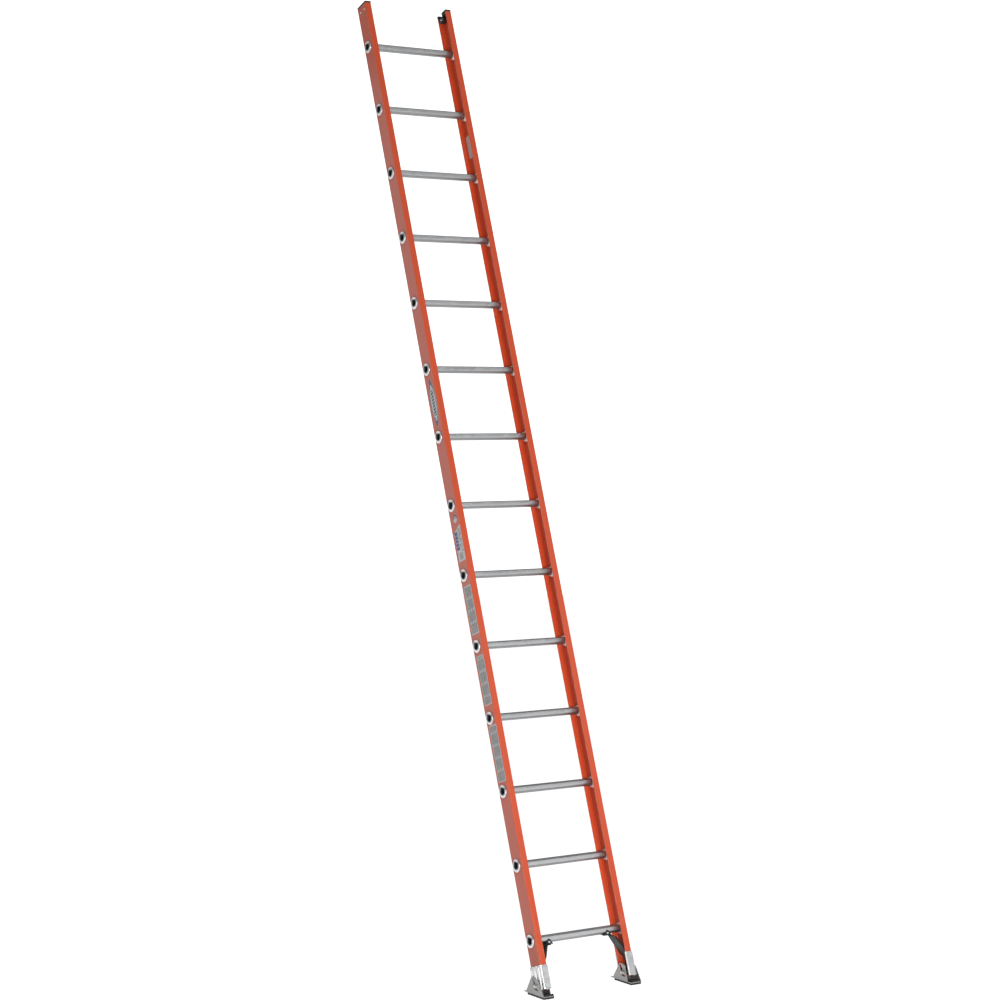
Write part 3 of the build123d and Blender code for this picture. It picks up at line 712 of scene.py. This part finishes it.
rivet_metal = plated_steel("rivet_metal", (0.72, 0.72, 0.71), (0.50, 0.50, 0.50), 0.34)
pivot_steel = plated_steel("pivot_steel", (0.66, 0.66, 0.64), (0.42, 0.42, 0.41), 0.36)
place_tree = set_out_tree()


def rivets(name, node, radius, rise, grip, places, slot_name="rivet_metal", finish=None):
    """Rivets set out on places, as the piece that stands for a node."""
    item = put(name + "_item", mesh_of(name, turned(rivet_profile(radius, rise, grip)), 40))
    values = {"Item": item, "Finish": (finish or rivet_metal).material}
    heads = grown(name, place_tree, values, points_mesh(places))
    bpy.data.objects.remove(item)
    stands_for(heads, slot_name, node)


def outward(side, depth, height, proud=0.0):
    """A place on the outside of a web, or proud of it, and the way out from it."""
    return on_rails(side * (half_width + proud), depth, height), (side, 0.0, 0.0)


cap_rivet_spots = []
for name, side in sides:
    cap_rivet_spots += [outward(side, depth, cap_rivet_height) for depth in (-0.020, 0.014)]
for name, side in sides:
    tail = on_rails(side * plug_face, 0.010, cap_rivet_height + 0.005)
    cap_rivet_spots.append((tail, (-side, 0.0, 0.0)))
rivets("cap_rivet_heads", "cap_rivets", 0.0046, 0.0018, 0.008, cap_rivet_spots)

# ---- Rail shields ----
# A galvanised steel sleeve pressed round the foot of each rail, over the web, the flanges and their lips.
# Three upright ribs stiffen its web side, a bead follows its front corner, and four rivets hold it.
shield_out = 0.0022                 # outside of the sheet from the fibreglass
shield_sheet = 0.0018
shield_bottom = -0.0186
shield_top = 0.077
corner_radius = 0.004
lip_bend = 0.0012
rib_places = (-0.021, 0.007, 0.031)
rib_half = 0.0068
rib_reach = 0.0064
bead_reach = 0.0009
bead_half = 0.0022


def bend(x, depth, radius, first, last, steps):
    """A rounded corner of the shield's line about a centre: places, and the way out at each."""
    turns = [math.radians(first + (last - first) * step / steps) for step in range(steps + 1)]
    ways = [(math.cos(turn), math.sin(turn)) for turn in turns]
    return [((x + radius * way[0], depth + radius * way[1]), way) for way in ways]


def shield_line():
    """Once round the foot of a rail, from inside the front lip to inside the back one."""
    half_depth = rail_depth / 2 + shield_out
    face = half_width + shield_out
    lip = half_width - flange_width - shield_out
    inner_edge = -rail_depth / 2 + flange_thickness
    front = [((lip, inner_edge), (-1.0, 0.0)), ((lip, inner_edge - 0.0024), (-1.0, 0.0))]
    front += bend(lip + lip_bend, lip_bend - half_depth, lip_bend, 180, 270, 5)
    flat = face - corner_radius - lip - lip_bend
    front += [((lip + lip_bend + flat * step / 9, -half_depth), (0.0, -1.0)) for step in range(1, 9)]
    front += bend(face - corner_radius, corner_radius - half_depth, corner_radius, -90, 0, 6)
    reach = half_depth - corner_radius
    web = [((face, -reach + 2 * reach * step / 96), (1.0, 0.0)) for step in range(1, 96)]
    back = [((x, -depth), (out, -way)) for (x, depth), (out, way) in front]
    return front + web + back[::-1]


def shield_mesh(name, side):
    """The sleeve as one sheet: its line pushed out by ribs and bead at every height, then thickened."""
    rows = []
    levels = [shield_bottom + (shield_top - shield_bottom) * step / 40 for step in range(41)]
    for height in levels:
        row = []
        settle = min(1.0, max(0.0, (shield_top - height) / 0.012))
        for (x, depth), (out, way) in shield_line():
            swell = 0.0
            if out > 0.999:
                for middle in rib_places:
                    away = abs(depth - middle) / rib_half
                    if away < 1:
                        swell += rib_reach * math.cos(away * math.pi / 2) ** 1.2
                swell *= 0.35 + 0.65 * settle ** 0.5
            if x > half_width - corner_radius:
                off_bead = (depth + rail_depth / 2 - 0.0005) / bead_half
                swell += bead_reach * math.exp(-off_bead ** 2)
            row.append(on_rails(side * (x + out * swell), depth + way * swell, height))
        rows.append(row)
    bm = skin(rows, closed=False, round_loops=False)
    bmesh.ops.recalc_face_normals(bm, faces=bm.faces)
    middle = max(bm.faces, key=lambda face: side * face.calc_center_median().x)
    if middle.normal.x * side < 0:
        bmesh.ops.reverse_faces(bm, faces=bm.faces)
    mesh = bpy.data.meshes.new(name)
    bm.to_mesh(mesh)
    bm.free()
    thing = put(name, mesh)
    thicken = thing.modifiers.new("sheet", "SOLIDIFY")
    thicken.thickness = shield_sheet
    thicken.offset = -1.0
    thicken.use_even_offset = True
    thing = finished(thing)
    bm = bmesh.new()
    bm.from_mesh(thing.data)
    thing.data = mesh_of(name, bm, 55)
    return thing


def galvanised():
    """Zinc spangle drawn out by the press, with white rust in patches, a painted highlight on the front flank
    of each rib and painted shade in the valley behind it.
    """
    finish = Finish("galvanised_sheet", Metallic=1.0)
    place = finish.object_mm()
    swirl = finish.node("TexNoise", None, {"Vector": place, "Scale": 0.35}, 1)
    sway = finish.scaled(swirl, (2.4, 2.4, 2.4))
    bent = finish.node("VectorMath", {"operation": "ADD"}, {0: place, 1: sway})
    spangle = finish.node("TexVoronoi", {"feature": "F1"}, {"Vector": bent, "Scale": 0.24}, "Color")
    leaf = finish.split(spangle)[0]
    bloom = finish.noise(place, (18.0, 18.0, 18.0), 4.0, 0.6)
    drag = finish.noise(place, (1.0, 1.0, 30.0), 3.0, 0.6)
    fine = finish.noise(place, (0.6, 0.6, 0.6), 2.0)
    rubbed = finish.edges(1.2) * finish.ease(drag, 0.4, 0.6)
    across, depth = finish.split(finish.rails_mm())[:2]
    on_web = finish.ease(abs(across), 222.6, 223.4)
    # Painted highlight on the front flank of each rib and painted shade in the valley behind it, on the web
    # side only.
    painted_highlight_crest = 0.0
    painted_shade_valley = 0.0
    for rib in rib_places:
        middle = rib * 1000
        painted_highlight_crest = finish.between(depth, middle - 5.5, middle - 0.5, 1.0) + painted_highlight_crest
        painted_shade_valley = finish.between(depth, middle + 1.5, middle + 7.5, 1.5) + painted_shade_valley
    shade = (leaf - 0.5) * 0.42 + (bloom - 0.5) * 0.55 + (drag - 0.5) * 0.35 + 0.5
    colour = finish.mix(shade, (0.62, 0.63, 0.64, 1.0), (0.93, 0.935, 0.94, 1.0))
    # Painted shade darkens the valleys; a painted highlight lightens the crests.
    colour = finish.mix(on_web * painted_shade_valley * 0.75, colour, (0.16, 0.16, 0.165, 1.0))
    colour = finish.mix(on_web * painted_highlight_crest * 0.9, colour, (0.97, 0.97, 0.97, 1.0))
    white_rust = finish.ease(bloom, 0.60, 0.74) * finish.ease(fine, 0.4, 0.6)
    colour = finish.mix(white_rust * 0.35, colour, (0.62, 0.62, 0.61, 1.0))
    finish.feed("Base Color", finish.mix(rubbed * 0.6, colour, (0.90, 0.90, 0.90, 1.0)))
    # In the valleys the painted shade also takes away the metal, and below it raises the roughness; white
    # rust dulls the metal too.
    finish.feed("Metallic", (1.0 - white_rust * 0.5) * (1.0 - on_web * painted_shade_valley))
    rough = (leaf - 0.5) * 0.16 + (bloom - 0.5) * 0.25 + white_rust * 0.25 + (fine - 0.5) * 0.1 + 0.46
    finish.feed("Roughness", rough + on_web * painted_shade_valley * 0.4)
    finish.feed("Normal", finish.bump(leaf, 0.01, finish.bump(drag, 0.02, finish.bump(bloom, 0.10))))
    return finish


boot_metal = galvanised()
for name, side in sides:
    shield = shield_mesh(f"{name}_rail_shield", side)
    coat_with(shield, boot_metal)
    stands_for(shield, "boot_metal", f"{name}_boot")
rivets("boot_rivet_heads", "boot_rivets", 0.0042, 0.0016, 0.006,
       [outward(side, depth, height, shield_out) for name, side in sides for depth in (-0.007, 0.019)
        for height in (0.018, 0.062)])

# ---- Braces under the lowest rung ----
# Black-coated steel stampings: a saddle riveted under the rung, a sloping arm with turned-up edges, and a
# wide elbow and leg riveted and bolted inside the web.


def black_coat():
    """Black powder coat with slight orange peel, dust, and steel showing at rubbed corners."""
    finish = Finish("black_coat", IOR=1.42, Coat_Roughness=0.3)
    place = finish.object_mm()
    peel = finish.noise(place, (2.6, 2.6, 2.6), 2.0)
    cloud = finish.noise(place, (22.0, 22.0, 22.0), 4.0, 0.6)
    fine = finish.noise(place, (0.6, 0.6, 0.6), 2.0)
    rubbed = finish.edges(0.8) * finish.ease(finish.noise(place, (4.0, 4.0, 4.0), 3.0), 0.50, 0.62)
    dust = finish.ease(cloud, 0.52, 0.72)
    shade = (cloud - 0.5) * 0.8 + (fine - 0.5) * 0.4 + 0.5
    colour = finish.mix(shade, (0.010, 0.010, 0.011, 1.0), (0.024, 0.024, 0.026, 1.0))
    colour = finish.mix(dust * 0.18, colour, (0.09, 0.088, 0.086, 1.0))
    finish.feed("Base Color", finish.mix(rubbed * 0.8, colour, (0.36, 0.35, 0.34, 1.0)))
    finish.feed("Metallic", rubbed * 0.8)
    finish.feed("Roughness", (cloud - 0.5) * 0.25 + dust * 0.2 - rubbed * 0.1 + 0.56)
    finish.feed("Coat Weight", finish.ease(dust + rubbed, 0.0, 0.8, 0.10, 0.02))
    finish.feed("Normal", finish.bump(peel, 0.05, finish.bump(fine, 0.012)))
    return finish


brace_black = black_coat()
saddle_x = 0.143
for name, side in sides:
    brace = eased(f"{name}_rung_brace", f"{name}_brace", 0.0007, 2)
    coat_with(brace, brace_black)
    stands_for(brace, "brace_black", f"{name}_brace")

saddle_face = 0.0198                # outside of a saddle ear from the middle of the rung
brace_rivet_spots = []
for name, side in sides:
    brace_rivet_spots.append(outward(side, -0.007, 0.040, shield_out))
    for facing in (-1, 1):
        spot = first_middle + Vector((side * saddle_x, facing * saddle_face, -0.0076))
        brace_rivet_spots.append((spot, (0.0, facing, 0.0)))
rivets("brace_rivet_heads", "brace_rivets", 0.0049, 0.0021, 0.004, brace_rivet_spots)

# ---- Pivots ----
# One hexagon bolt through each shoe, shield, rail and brace: a plain shank, a washer under its head, a
# spacer tube inside the rail, and a washer and nut on its rolled thread.


def hexagon(flats, start, end, chamfer):
    """A hexagon bar along X with the corners of its far end turned off."""
    steps = 48
    apothem = flats / 2
    corner = apothem / math.cos(math.pi / 6)
    loops = []
    way = 1 if end > start else -1
    for x, limit in ((start, corner), (end - way * chamfer, corner),
                     (end - way * chamfer * 0.45, corner * 0.965), (end, apothem * 0.93)):
        loop = []
        for step in range(steps):
            turn = 2 * math.pi * step / steps
            off = (turn + math.pi / 6) % (math.pi / 3) - math.pi / 6
            reach = min(apothem / math.cos(off), limit)
            loop.append((x, reach * math.cos(turn), reach * math.sin(turn)))
        loops.append(loop)
    return skin(loops, closed=False, capped=True)


def joined(name, parts, sharp=35):
    """Several solids as one mesh."""
    whole = bmesh.new()
    for bm in parts:
        mesh = mesh_of(name, bm, sharp)
        whole.from_mesh(mesh)
        bpy.data.meshes.remove(mesh)
    mesh = bpy.data.meshes.new(name)
    whole.to_mesh(mesh)
    whole.free()
    return mesh


def washer(start, thickness, radius, bore):
    """A flat ring turned about X, with its outer edges broken."""
    edge = 0.0003
    end = start + thickness
    profile = ((start, bore), (start, radius - edge), (start + edge, radius), (end - edge, radius),
               (end, radius - edge), (end, bore))
    ways = [(math.cos(2 * math.pi * step / 40), math.sin(2 * math.pi * step / 40)) for step in range(40)]
    return skin([[(x, reach * y, reach * z) for y, z in ways] for x, reach in profile])


bolt_radius = 0.00475
bolt_head = 0.005
washer_radius = 0.009
washer_thickness = 0.0014
across_flats = 0.013
spacer_radius = 0.008
thread_pitch = 0.00125
for name, side in sides:
    bolt_low, bolt_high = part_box(f"{name}_pivot_bolt")
    nut_low, nut_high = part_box(f"{name}_pivot_nut")
    tube_low, tube_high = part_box(f"{name}_pivot_spacer")
    axis = (bolt_low + bolt_high) / 2
    inner, outer = sorted((abs(bolt_low.x), abs(bolt_high.x)))
    nut_inner, nut_outer = sorted((abs(nut_low.x), abs(nut_high.x)))
    tube_inner, tube_outer = sorted((abs(tube_low.x), abs(tube_high.x)))
    head_start = outer - bolt_head
    thread = [(inner, 0.0), (inner, bolt_radius * 0.80)]
    for turn in range(11):
        x = inner + 0.0005 + turn * thread_pitch
        thread.append((x, bolt_radius * 0.86))
        thread += [(x + flank, bolt_radius * 0.995) for flank in (0.0005, 0.0007)]
    shank_end = head_start - 0.001
    shank = thread + [(inner + 0.0152, bolt_radius), (shank_end, bolt_radius), (shank_end, 0.0)]
    head_washer = washer(head_start - washer_thickness, washer_thickness, washer_radius, bolt_radius * 0.9)
    bolt_parts = [turned(shank, 32), head_washer, hexagon(across_flats, head_start, outer, 0.0011)]
    nut_start = nut_outer - washer_thickness
    nut_parts = [washer(nut_start, washer_thickness, washer_radius, bolt_radius + 0.0001),
                 hexagon(across_flats, nut_start, nut_inner, 0.0010)]
    tube_parts = [washer(tube_inner, tube_outer - tube_inner, spacer_radius, bolt_radius + 0.0001)]
    for label, parts in (("pivot_bolt", bolt_parts), ("pivot_nut", nut_parts), ("pivot_spacer", tube_parts)):
        mesh = joined(f"{name}_{label}_turned", parts)
        mirrored = Matrix.Scale(side, 4, Vector((1, 0, 0)))
        mesh.transform(Matrix.Translation(Vector((0, axis.y, axis.z))) @ mirrored)
        if side < 0:
            mesh.flip_normals()
        piece = put(f"{name}_{label}_turned", mesh)
        coat_with(piece, pivot_steel)
        stands_for(piece, "pivot_steel", f"{name}_{label}")

# ---- Shoes ----
# Pressed and zinc-plated steel brackets that swivel on the bolts: two slotted ears and a flat
# plate with spur teeth behind, over a rubber pad cut into tread bars. A thin rubber mat lies on the plate.
shoe_steel = plated_steel("shoe_steel", (0.46, 0.46, 0.45), (0.27, 0.27, 0.265), 0.5, (9.0, 9.0, 9.0), 0.8,
                          0.85)
plate_top = 0.011


def rubber():
    """Matt black rubber with a fine grain, dusty towards the ground."""
    finish = Finish("tread_rubber", IOR=1.5)
    place = finish.object_mm()
    grain = finish.noise(place, (0.45, 0.45, 0.45), 3.0, 0.6)
    cloud = finish.noise(place, (12.0, 12.0, 12.0), 4.0, 0.6)
    height = finish.split(place)[2]
    ground = finish.ease(height, 0.2, 3.0, 1.0, 0.0)
    dust = finish.ease(cloud, 0.46, 0.70)
    shade = (cloud - 0.5) * 0.8 + (grain - 0.5) * 0.5 + 0.5
    colour = finish.mix(shade, (0.010, 0.010, 0.010, 1.0), (0.028, 0.027, 0.026, 1.0))
    finish.feed("Base Color", finish.mix(dust * 0.16 + ground * 0.30, colour, (0.10, 0.098, 0.094, 1.0)))
    finish.feed("Roughness", (grain - 0.5) * 0.25 + dust * 0.12 + 0.80)
    finish.feed("Normal", finish.bump(grain, 0.09, finish.bump(cloud, 0.1)))
    return finish


def mat_mesh(name, node):
    """A thin mat with rounded edges whose front is turned up as a toe strip."""
    low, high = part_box(node)
    thick = high.z - low.z
    toe = [(0.0, 0.0), (0.0, toe_rise - 0.001), (0.0003, toe_rise - 0.0003), (0.001, toe_rise),
           (0.0028, toe_rise), (0.0035, toe_rise - 0.0003), (0.0038, toe_rise - 0.001),
           (0.0038, thick + 0.0012), (0.0042, thick + 0.0004), (0.0052, thick)]
    heel = [(-0.0008, thick), (-0.0002, thick - 0.0002), (0.0, thick - 0.0008), (0.0, 0.0)]
    line = [(low.y + y, z) for y, z in toe] + [(high.y + y, z) for y, z in heel]
    ends = [(low.x, 0.0006), (low.x + 0.0006, 0.0), (high.x - 0.0006, 0.0), (high.x, 0.0006)]
    loops = [[(x, min(max(y, low.y + inset), high.y - inset), low.z + max(0.0, z - inset)) for y, z in line]
             for x, inset in ends]
    return mesh_of(name, skin(loops, closed=False, capped=True), 40)


toe_rise = 0.0075
tread_rubber = rubber()
for name, side in sides:
    bracket = eased(f"{name}_swivel_shoe", f"{name}_shoe_bracket", 0.0006, 2)
    coat_with(bracket, shoe_steel)
    stands_for(bracket, "shoe_steel", f"{name}_shoe_bracket")
    pad = eased(f"{name}_tread_pad", f"{name}_shoe_pad", 0.0005, 2)
    mat = put(f"{name}_tread_mat", mat_mesh(f"{name}_tread_mat", f"{name}_shoe_mat"))
    for piece, node in ((pad, "shoe_pad"), (mat, "shoe_mat")):
        coat_with(piece, tread_rubber)
        stands_for(piece, "tread_rubber", f"{name}_{node}")
    plate_low, plate_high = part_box(f"{name}_shoe_bracket")
    mat_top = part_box(f"{name}_shoe_mat")[1].z
    shoe_middle = (plate_low.x + plate_high.x) / 2
    spots = []
    for x in (-0.012, 0.012):
        for y, height in ((-0.048, mat_top), (0.052, plate_top)):
            spots.append((Vector((shoe_middle + x, pivot_middle.y + y, height)), (0.0, 0.0, 1.0)))
    rivets(f"{name}_pad_rivet_heads", f"{name}_pad_rivets", 0.0044, 0.0015, 0.004, spots, "pad_rivet_steel",
           pivot_steel)

# ---- Stickers ----
# Printed vinyl on the webs: a lens-shaped badge, an oval size mark, a rating panel and three instruction
# panels, all with plain blocks, bars and frames in place of words, and a small panel inside the right web.


def vinyl(name):
    """A new print, with its place on the rails, its depth and its height."""
    finish = Finish(name, IOR=1.46)
    place = finish.rails_mm()
    return finish, place, *finish.split(place)[1:]


def bars(finish, along, row, pitch, tall, length, fill=0.5, seed=0.0):
    """Rows of short printed bars of uneven length: 1 on the ink."""
    line = row / pitch + seed
    number = finish.node("Math", {"operation": "FLOOR"}, {0: line})
    share = finish.node("Math", {"operation": "FRACT"}, {0: line})
    spot = finish.node("CombineXYZ", None, {0: along / length, 1: number * 7.31 + seed, 2: 0.5})
    word = finish.node("TexNoise", None, {"Vector": spot, "Scale": 1.0, "Detail": 1.0, "Roughness": 0.5})
    inked = finish.ease(word, 1.0 - fill - 0.02, 1.0 - fill + 0.02)
    return inked * finish.between(share, 0.12, 0.12 + tall, 0.05)


def weathered(finish, place, colour):
    """Handling marks, faint fading and a slight orange peel over any print."""
    fade = finish.noise(place, (30.0, 30.0, 50.0), 4.0, 0.6)
    fine = finish.noise(place, (1.2, 1.2, 1.6), 3.0, 0.6)
    scratch = finish.ease(finish.noise(place, (0.5, 0.5, 26.0), 2.0, 0.6), 0.66, 0.72)
    colour = finish.mix(finish.ease(fade, 0.45, 0.75) * 0.18, colour, (0.55, 0.52, 0.48, 1.0))
    colour = finish.mix(scratch * 0.35, colour, (0.62, 0.40, 0.32, 1.0))
    finish.feed("Base Color", colour)
    finish.feed("Roughness", (fade - 0.5) * 0.25 + scratch * 0.25 + (fine - 0.5) * 0.1 + 0.36)
    finish.feed("Normal", finish.bump(fine, 0.02, finish.bump(1.0 - scratch, 0.03)))


paper = (0.74, 0.75, 0.75, 1.0)
panel_grey = (0.50, 0.51, 0.51, 1.0)
ink = (0.045, 0.046, 0.05, 1.0)
print_blue = (0.052, 0.062, 0.28, 1.0)
lens_middle = first_rung + 2284.0
lens_half = 114.0
rating_bottom = first_rung + 1584.0
oval_middle = first_rung + 1768.0
panel_margin = 4.0


def maker_print():
    """A pointed badge: a dark outline, blue tips with pale arrows, and plain blocks along its middle."""
    finish, place, depth, height = vinyl("maker_print")
    from_middle = height - lens_middle
    from_axis = depth + 3.0
    share = abs(from_middle) / lens_half
    edge = 25.0 * (1.0 - share * share)
    inside = finish.ease(edge - abs(from_axis), 4.6, 5.4)
    rim = finish.ease(edge - abs(from_axis), 1.0, 1.4)
    tip = finish.ease(abs(from_middle), 64.0, 65.0)
    chevron = finish.between(abs(from_middle) + abs(from_axis) * 1.4, 66.0, 84.0, 0.6)
    chevron = chevron * finish.between(abs(from_axis), -1.0, 6.5, 0.3) * tip
    beat = finish.node("Math", {"operation": "FRACT"}, {0: from_middle / 14.0 + from_axis / 44.0 + 50.5})
    block = finish.between(beat, 0.16, 0.84, 0.03) * finish.between(abs(from_axis), -1.0, 9.0, 0.4)
    block = block * finish.ease(abs(from_middle), 56.0, 57.0, 1.0, 0.0)
    colour = finish.mix(rim, (0.62, 0.62, 0.63, 1.0), (0.06, 0.06, 0.075, 1.0))
    colour = finish.mix(inside, colour, (0.78, 0.79, 0.80, 1.0))
    colour = finish.mix(inside * tip, colour, print_blue)
    colour = finish.mix(inside * chevron, colour, (0.82, 0.83, 0.84, 1.0))
    colour = finish.mix(inside * block, colour, (0.05, 0.05, 0.055, 1.0))
    weathered(finish, place, colour)
    return finish


def rating_print():
    """The rating panel, with a blue field, bars and a code square, and the oval size mark above it."""
    finish, place, depth, height = vinyl("rating_print")
    rise = height - rating_bottom
    low_half = finish.ease(rise, 182.0, 183.0, 1.0, 0.0)
    blue = finish.between(depth, -1.0, 20.5, 0.2) * finish.between(rise, 50.0, 128.0, 0.3)
    words = bars(finish, depth, rise, 5.2, 0.55, 4.0, 0.52, 3.0) * finish.between(depth, -30.0, -4.0, 0.2)
    words = words * finish.between(rise, 54.0, 138.0, 0.3)
    bold = bars(finish, depth, rise, 15.0, 0.5, 9.0, 0.56, 1.0) * finish.between(depth, 2.0, 17.5, 0.2)
    bold = bold * finish.between(rise, 56.0, 122.0, 0.3)
    spot = finish.node("CombineXYZ", None, {0: depth, 1: rise, 2: 0.5})
    square = finish.node("VectorMath", {"operation": "SNAP"}, {0: spot, 1: (1.6, 1.6, 1.6)})
    cell = finish.node("TexWhiteNoise", {"noise_dimensions": "3D"}, {"Vector": square})
    code = (cell > 0.5) * finish.between(depth, -18.0, 10.0, 0.1) * finish.between(rise, 8.0, 36.0, 0.1)
    mark = finish.between(depth, -27.0, -21.0, 0.2) * finish.between(rise, 40.0, 47.0, 0.2)
    colour = finish.mix(blue, paper, print_blue)
    colour = finish.mix(words * 0.85, colour, ink)
    colour = finish.mix(bold * 0.7, colour, (0.55, 0.57, 0.68, 1.0))
    colour = finish.mix(code * 0.8, colour, ink)
    colour = finish.mix(mark, colour, ink)
    oval_x = (depth + 4.0) / 15.0
    oval_y = (height - oval_middle) / 18.0
    out = finish.node("Math", {"operation": "SQRT"}, {0: oval_x * oval_x + oval_y * oval_y})
    oval = finish.mix(finish.ease(out, 0.66, 0.72), (0.56, 0.56, 0.56, 1.0), (0.07, 0.07, 0.075, 1.0))
    oval = finish.mix(bars(finish, depth, height, 4.6, 0.5, 6.0, 0.55, 5.0) * (out < 0.5) * 0.6, oval, ink)
    weathered(finish, place, finish.mix(low_half, oval, colour))
    return finish


def instruction_print():
    """Grey instruction panels: rows of short bars between rows of framed pictures."""
    finish, place, depth, height = vinyl("instruction_print")
    frame_mask = 0.0
    for above_rung, length in ((1373.0, 208.0), (1073.0, 209.0), (766.0, 236.0)):
        middle = first_rung + above_rung
        reach = length / 2 - panel_margin
        frame_mask = finish.between(height, middle - reach, middle + reach, 0.2) + frame_mask
    frame_mask = frame_mask * finish.between(depth, -29.5, 21.5, 0.2)
    words = bars(finish, depth, height, 3.4, 0.52, 3.4, 0.56, 2.0)
    beat = finish.node("Math", {"operation": "FRACT"}, {0: height / 52.0})
    picture = finish.between(beat, 0.62, 0.96, 0.01)
    in_picture = finish.between(beat, 0.64, 0.94, 0.01)
    column = finish.node("Math", {"operation": "FRACT"}, {0: (depth + 29.5) / 17.0})
    tile = picture * finish.between(column, 0.06, 0.94, 0.02)
    tile_inside = in_picture * finish.between(column, 0.12, 0.88, 0.02)
    slope = finish.node("Math", {"operation": "FRACT"}, {0: column + beat * 3.2})
    drawing = finish.between(slope, 0.40, 0.52, 0.02) * tile_inside
    colour = finish.mix(frame_mask, paper, panel_grey)
    colour = finish.mix(frame_mask * words * (1.0 - picture) * 0.75, colour, ink)
    colour = finish.mix(frame_mask * tile, colour, (0.16, 0.16, 0.17, 1.0))
    colour = finish.mix(frame_mask * tile_inside, colour, (0.62, 0.63, 0.63, 1.0))
    colour = finish.mix(frame_mask * drawing, colour, (0.14, 0.14, 0.15, 1.0))
    weathered(finish, place, colour)
    return finish


maker_vinyl = maker_print()
rating_vinyl = rating_print()
instruction_vinyl = instruction_print()
dress("maker_label", maker_vinyl)
for node in ("rating_label", "size_label"):
    dress(node, rating_vinyl)
for node in ("instruction_label_1", "instruction_label_2", "instruction_label_3", "inner_label"):
    dress(node, instruction_vinyl)

# ---- Studio ----
# A wide pale floor that glows a little, with a white paper wall right round it, neither of which lights
# the ladder. Soft lamps stand in front, at the right and behind at the left, and the camera is in front.
floor_half = 30.0
floor_glow = 0.80
wall_radius = 26.0
wall_height = 24.0


def emitter(name, strength):
    """A pale matt finish that glows white."""
    return Finish(name, Roughness=1.0, Base_Color=(0.9, 0.9, 0.9, 1.0), Emission_Color=(1.0, 1.0, 1.0, 1.0),
                  Emission_Strength=strength)


floor_finish = emitter("studio_floor", floor_glow)
floor_cloud = floor_finish.noise(floor_finish.object_mm(), (900.0, 900.0, 900.0), 3.0)
floor_colour = floor_finish.mix(floor_cloud, (0.89, 0.89, 0.89, 1.0), (0.91, 0.91, 0.91, 1.0))
floor_finish.feed("Base Color", floor_colour)
floor_bm = bmesh.new()
corners = ((-1, -1), (1, -1), (1, 1), (-1, 1))
floor_bm.faces.new([floor_bm.verts.new((x * floor_half, y * floor_half, 0.0)) for x, y in corners])
floor = put("floor", mesh_of("floor", floor_bm))
coat_with(floor, floor_finish)
wall_turns = [2 * math.pi * step / 64 for step in range(64)]
wall_loops = [[(wall_radius * math.cos(turn), wall_radius * math.sin(turn), z) for turn in wall_turns]
              for z in (0.0, wall_height)]
wall = put("wall", mesh_of("wall", skin(wall_loops, closed=False)))
coat_with(wall, emitter("studio_wall", 1.0))
wall.visible_diffuse = wall.visible_glossy = wall.visible_shadow = wall.visible_transmission = False
floor.visible_diffuse = False

world = bpy.data.worlds.new("studio")
bpy.context.scene.world = world
world.use_nodes = True
sky = world.node_tree.nodes["Background"]
sky.inputs["Color"].default_value = (1.0, 1.0, 1.0, 1.0)
sky.inputs["Strength"].default_value = 0.27


def lamp(name, place, aim, size, power):
    """A soft rectangular lamp at a place, turned to its aim, with its power in watts."""
    data = bpy.data.lights.new(name, "AREA")
    data.shape = "RECTANGLE"
    data.size, data.size_y = size
    data.energy = power
    thing = bpy.data.objects.new(name, data)
    thing.location = place
    thing.rotation_euler = (Vector(aim) - Vector(place)).to_track_quat("-Z", "Y").to_euler()
    thing.visible_camera = False
    bpy.context.scene.collection.objects.link(thing)


lamp("front_lamp", (-2.2, -7.7, 1.3), (0.0, 0.0, 1.8), (3.0, 3.0), 430.0)
lamp("right_lamp", (5.5, -7.0, 5.0), (0.0, 0.0, 2.0), (3.0, 3.0), 20.0)
lamp("back_lamp", (-6.5, 8.0, 3.0), (0.0, 0.0, 2.0), (5.0, 5.0), 78.0)

camera_data = bpy.data.cameras.new("camera")
camera_data.sensor_width = 36.0
camera_data.lens = 80.79
camera_data.clip_end = 200.0
camera = bpy.data.objects.new("camera", camera_data)
camera.location = (-5.060, -8.130, 2.137)
camera.rotation_euler = (math.radians(88.990), math.radians(0.847), math.radians(-32.130))
bpy.context.scene.collection.objects.link(camera)
bpy.context.scene.camera = camera
bpy.context.scene.view_settings.view_transform = "Standard"
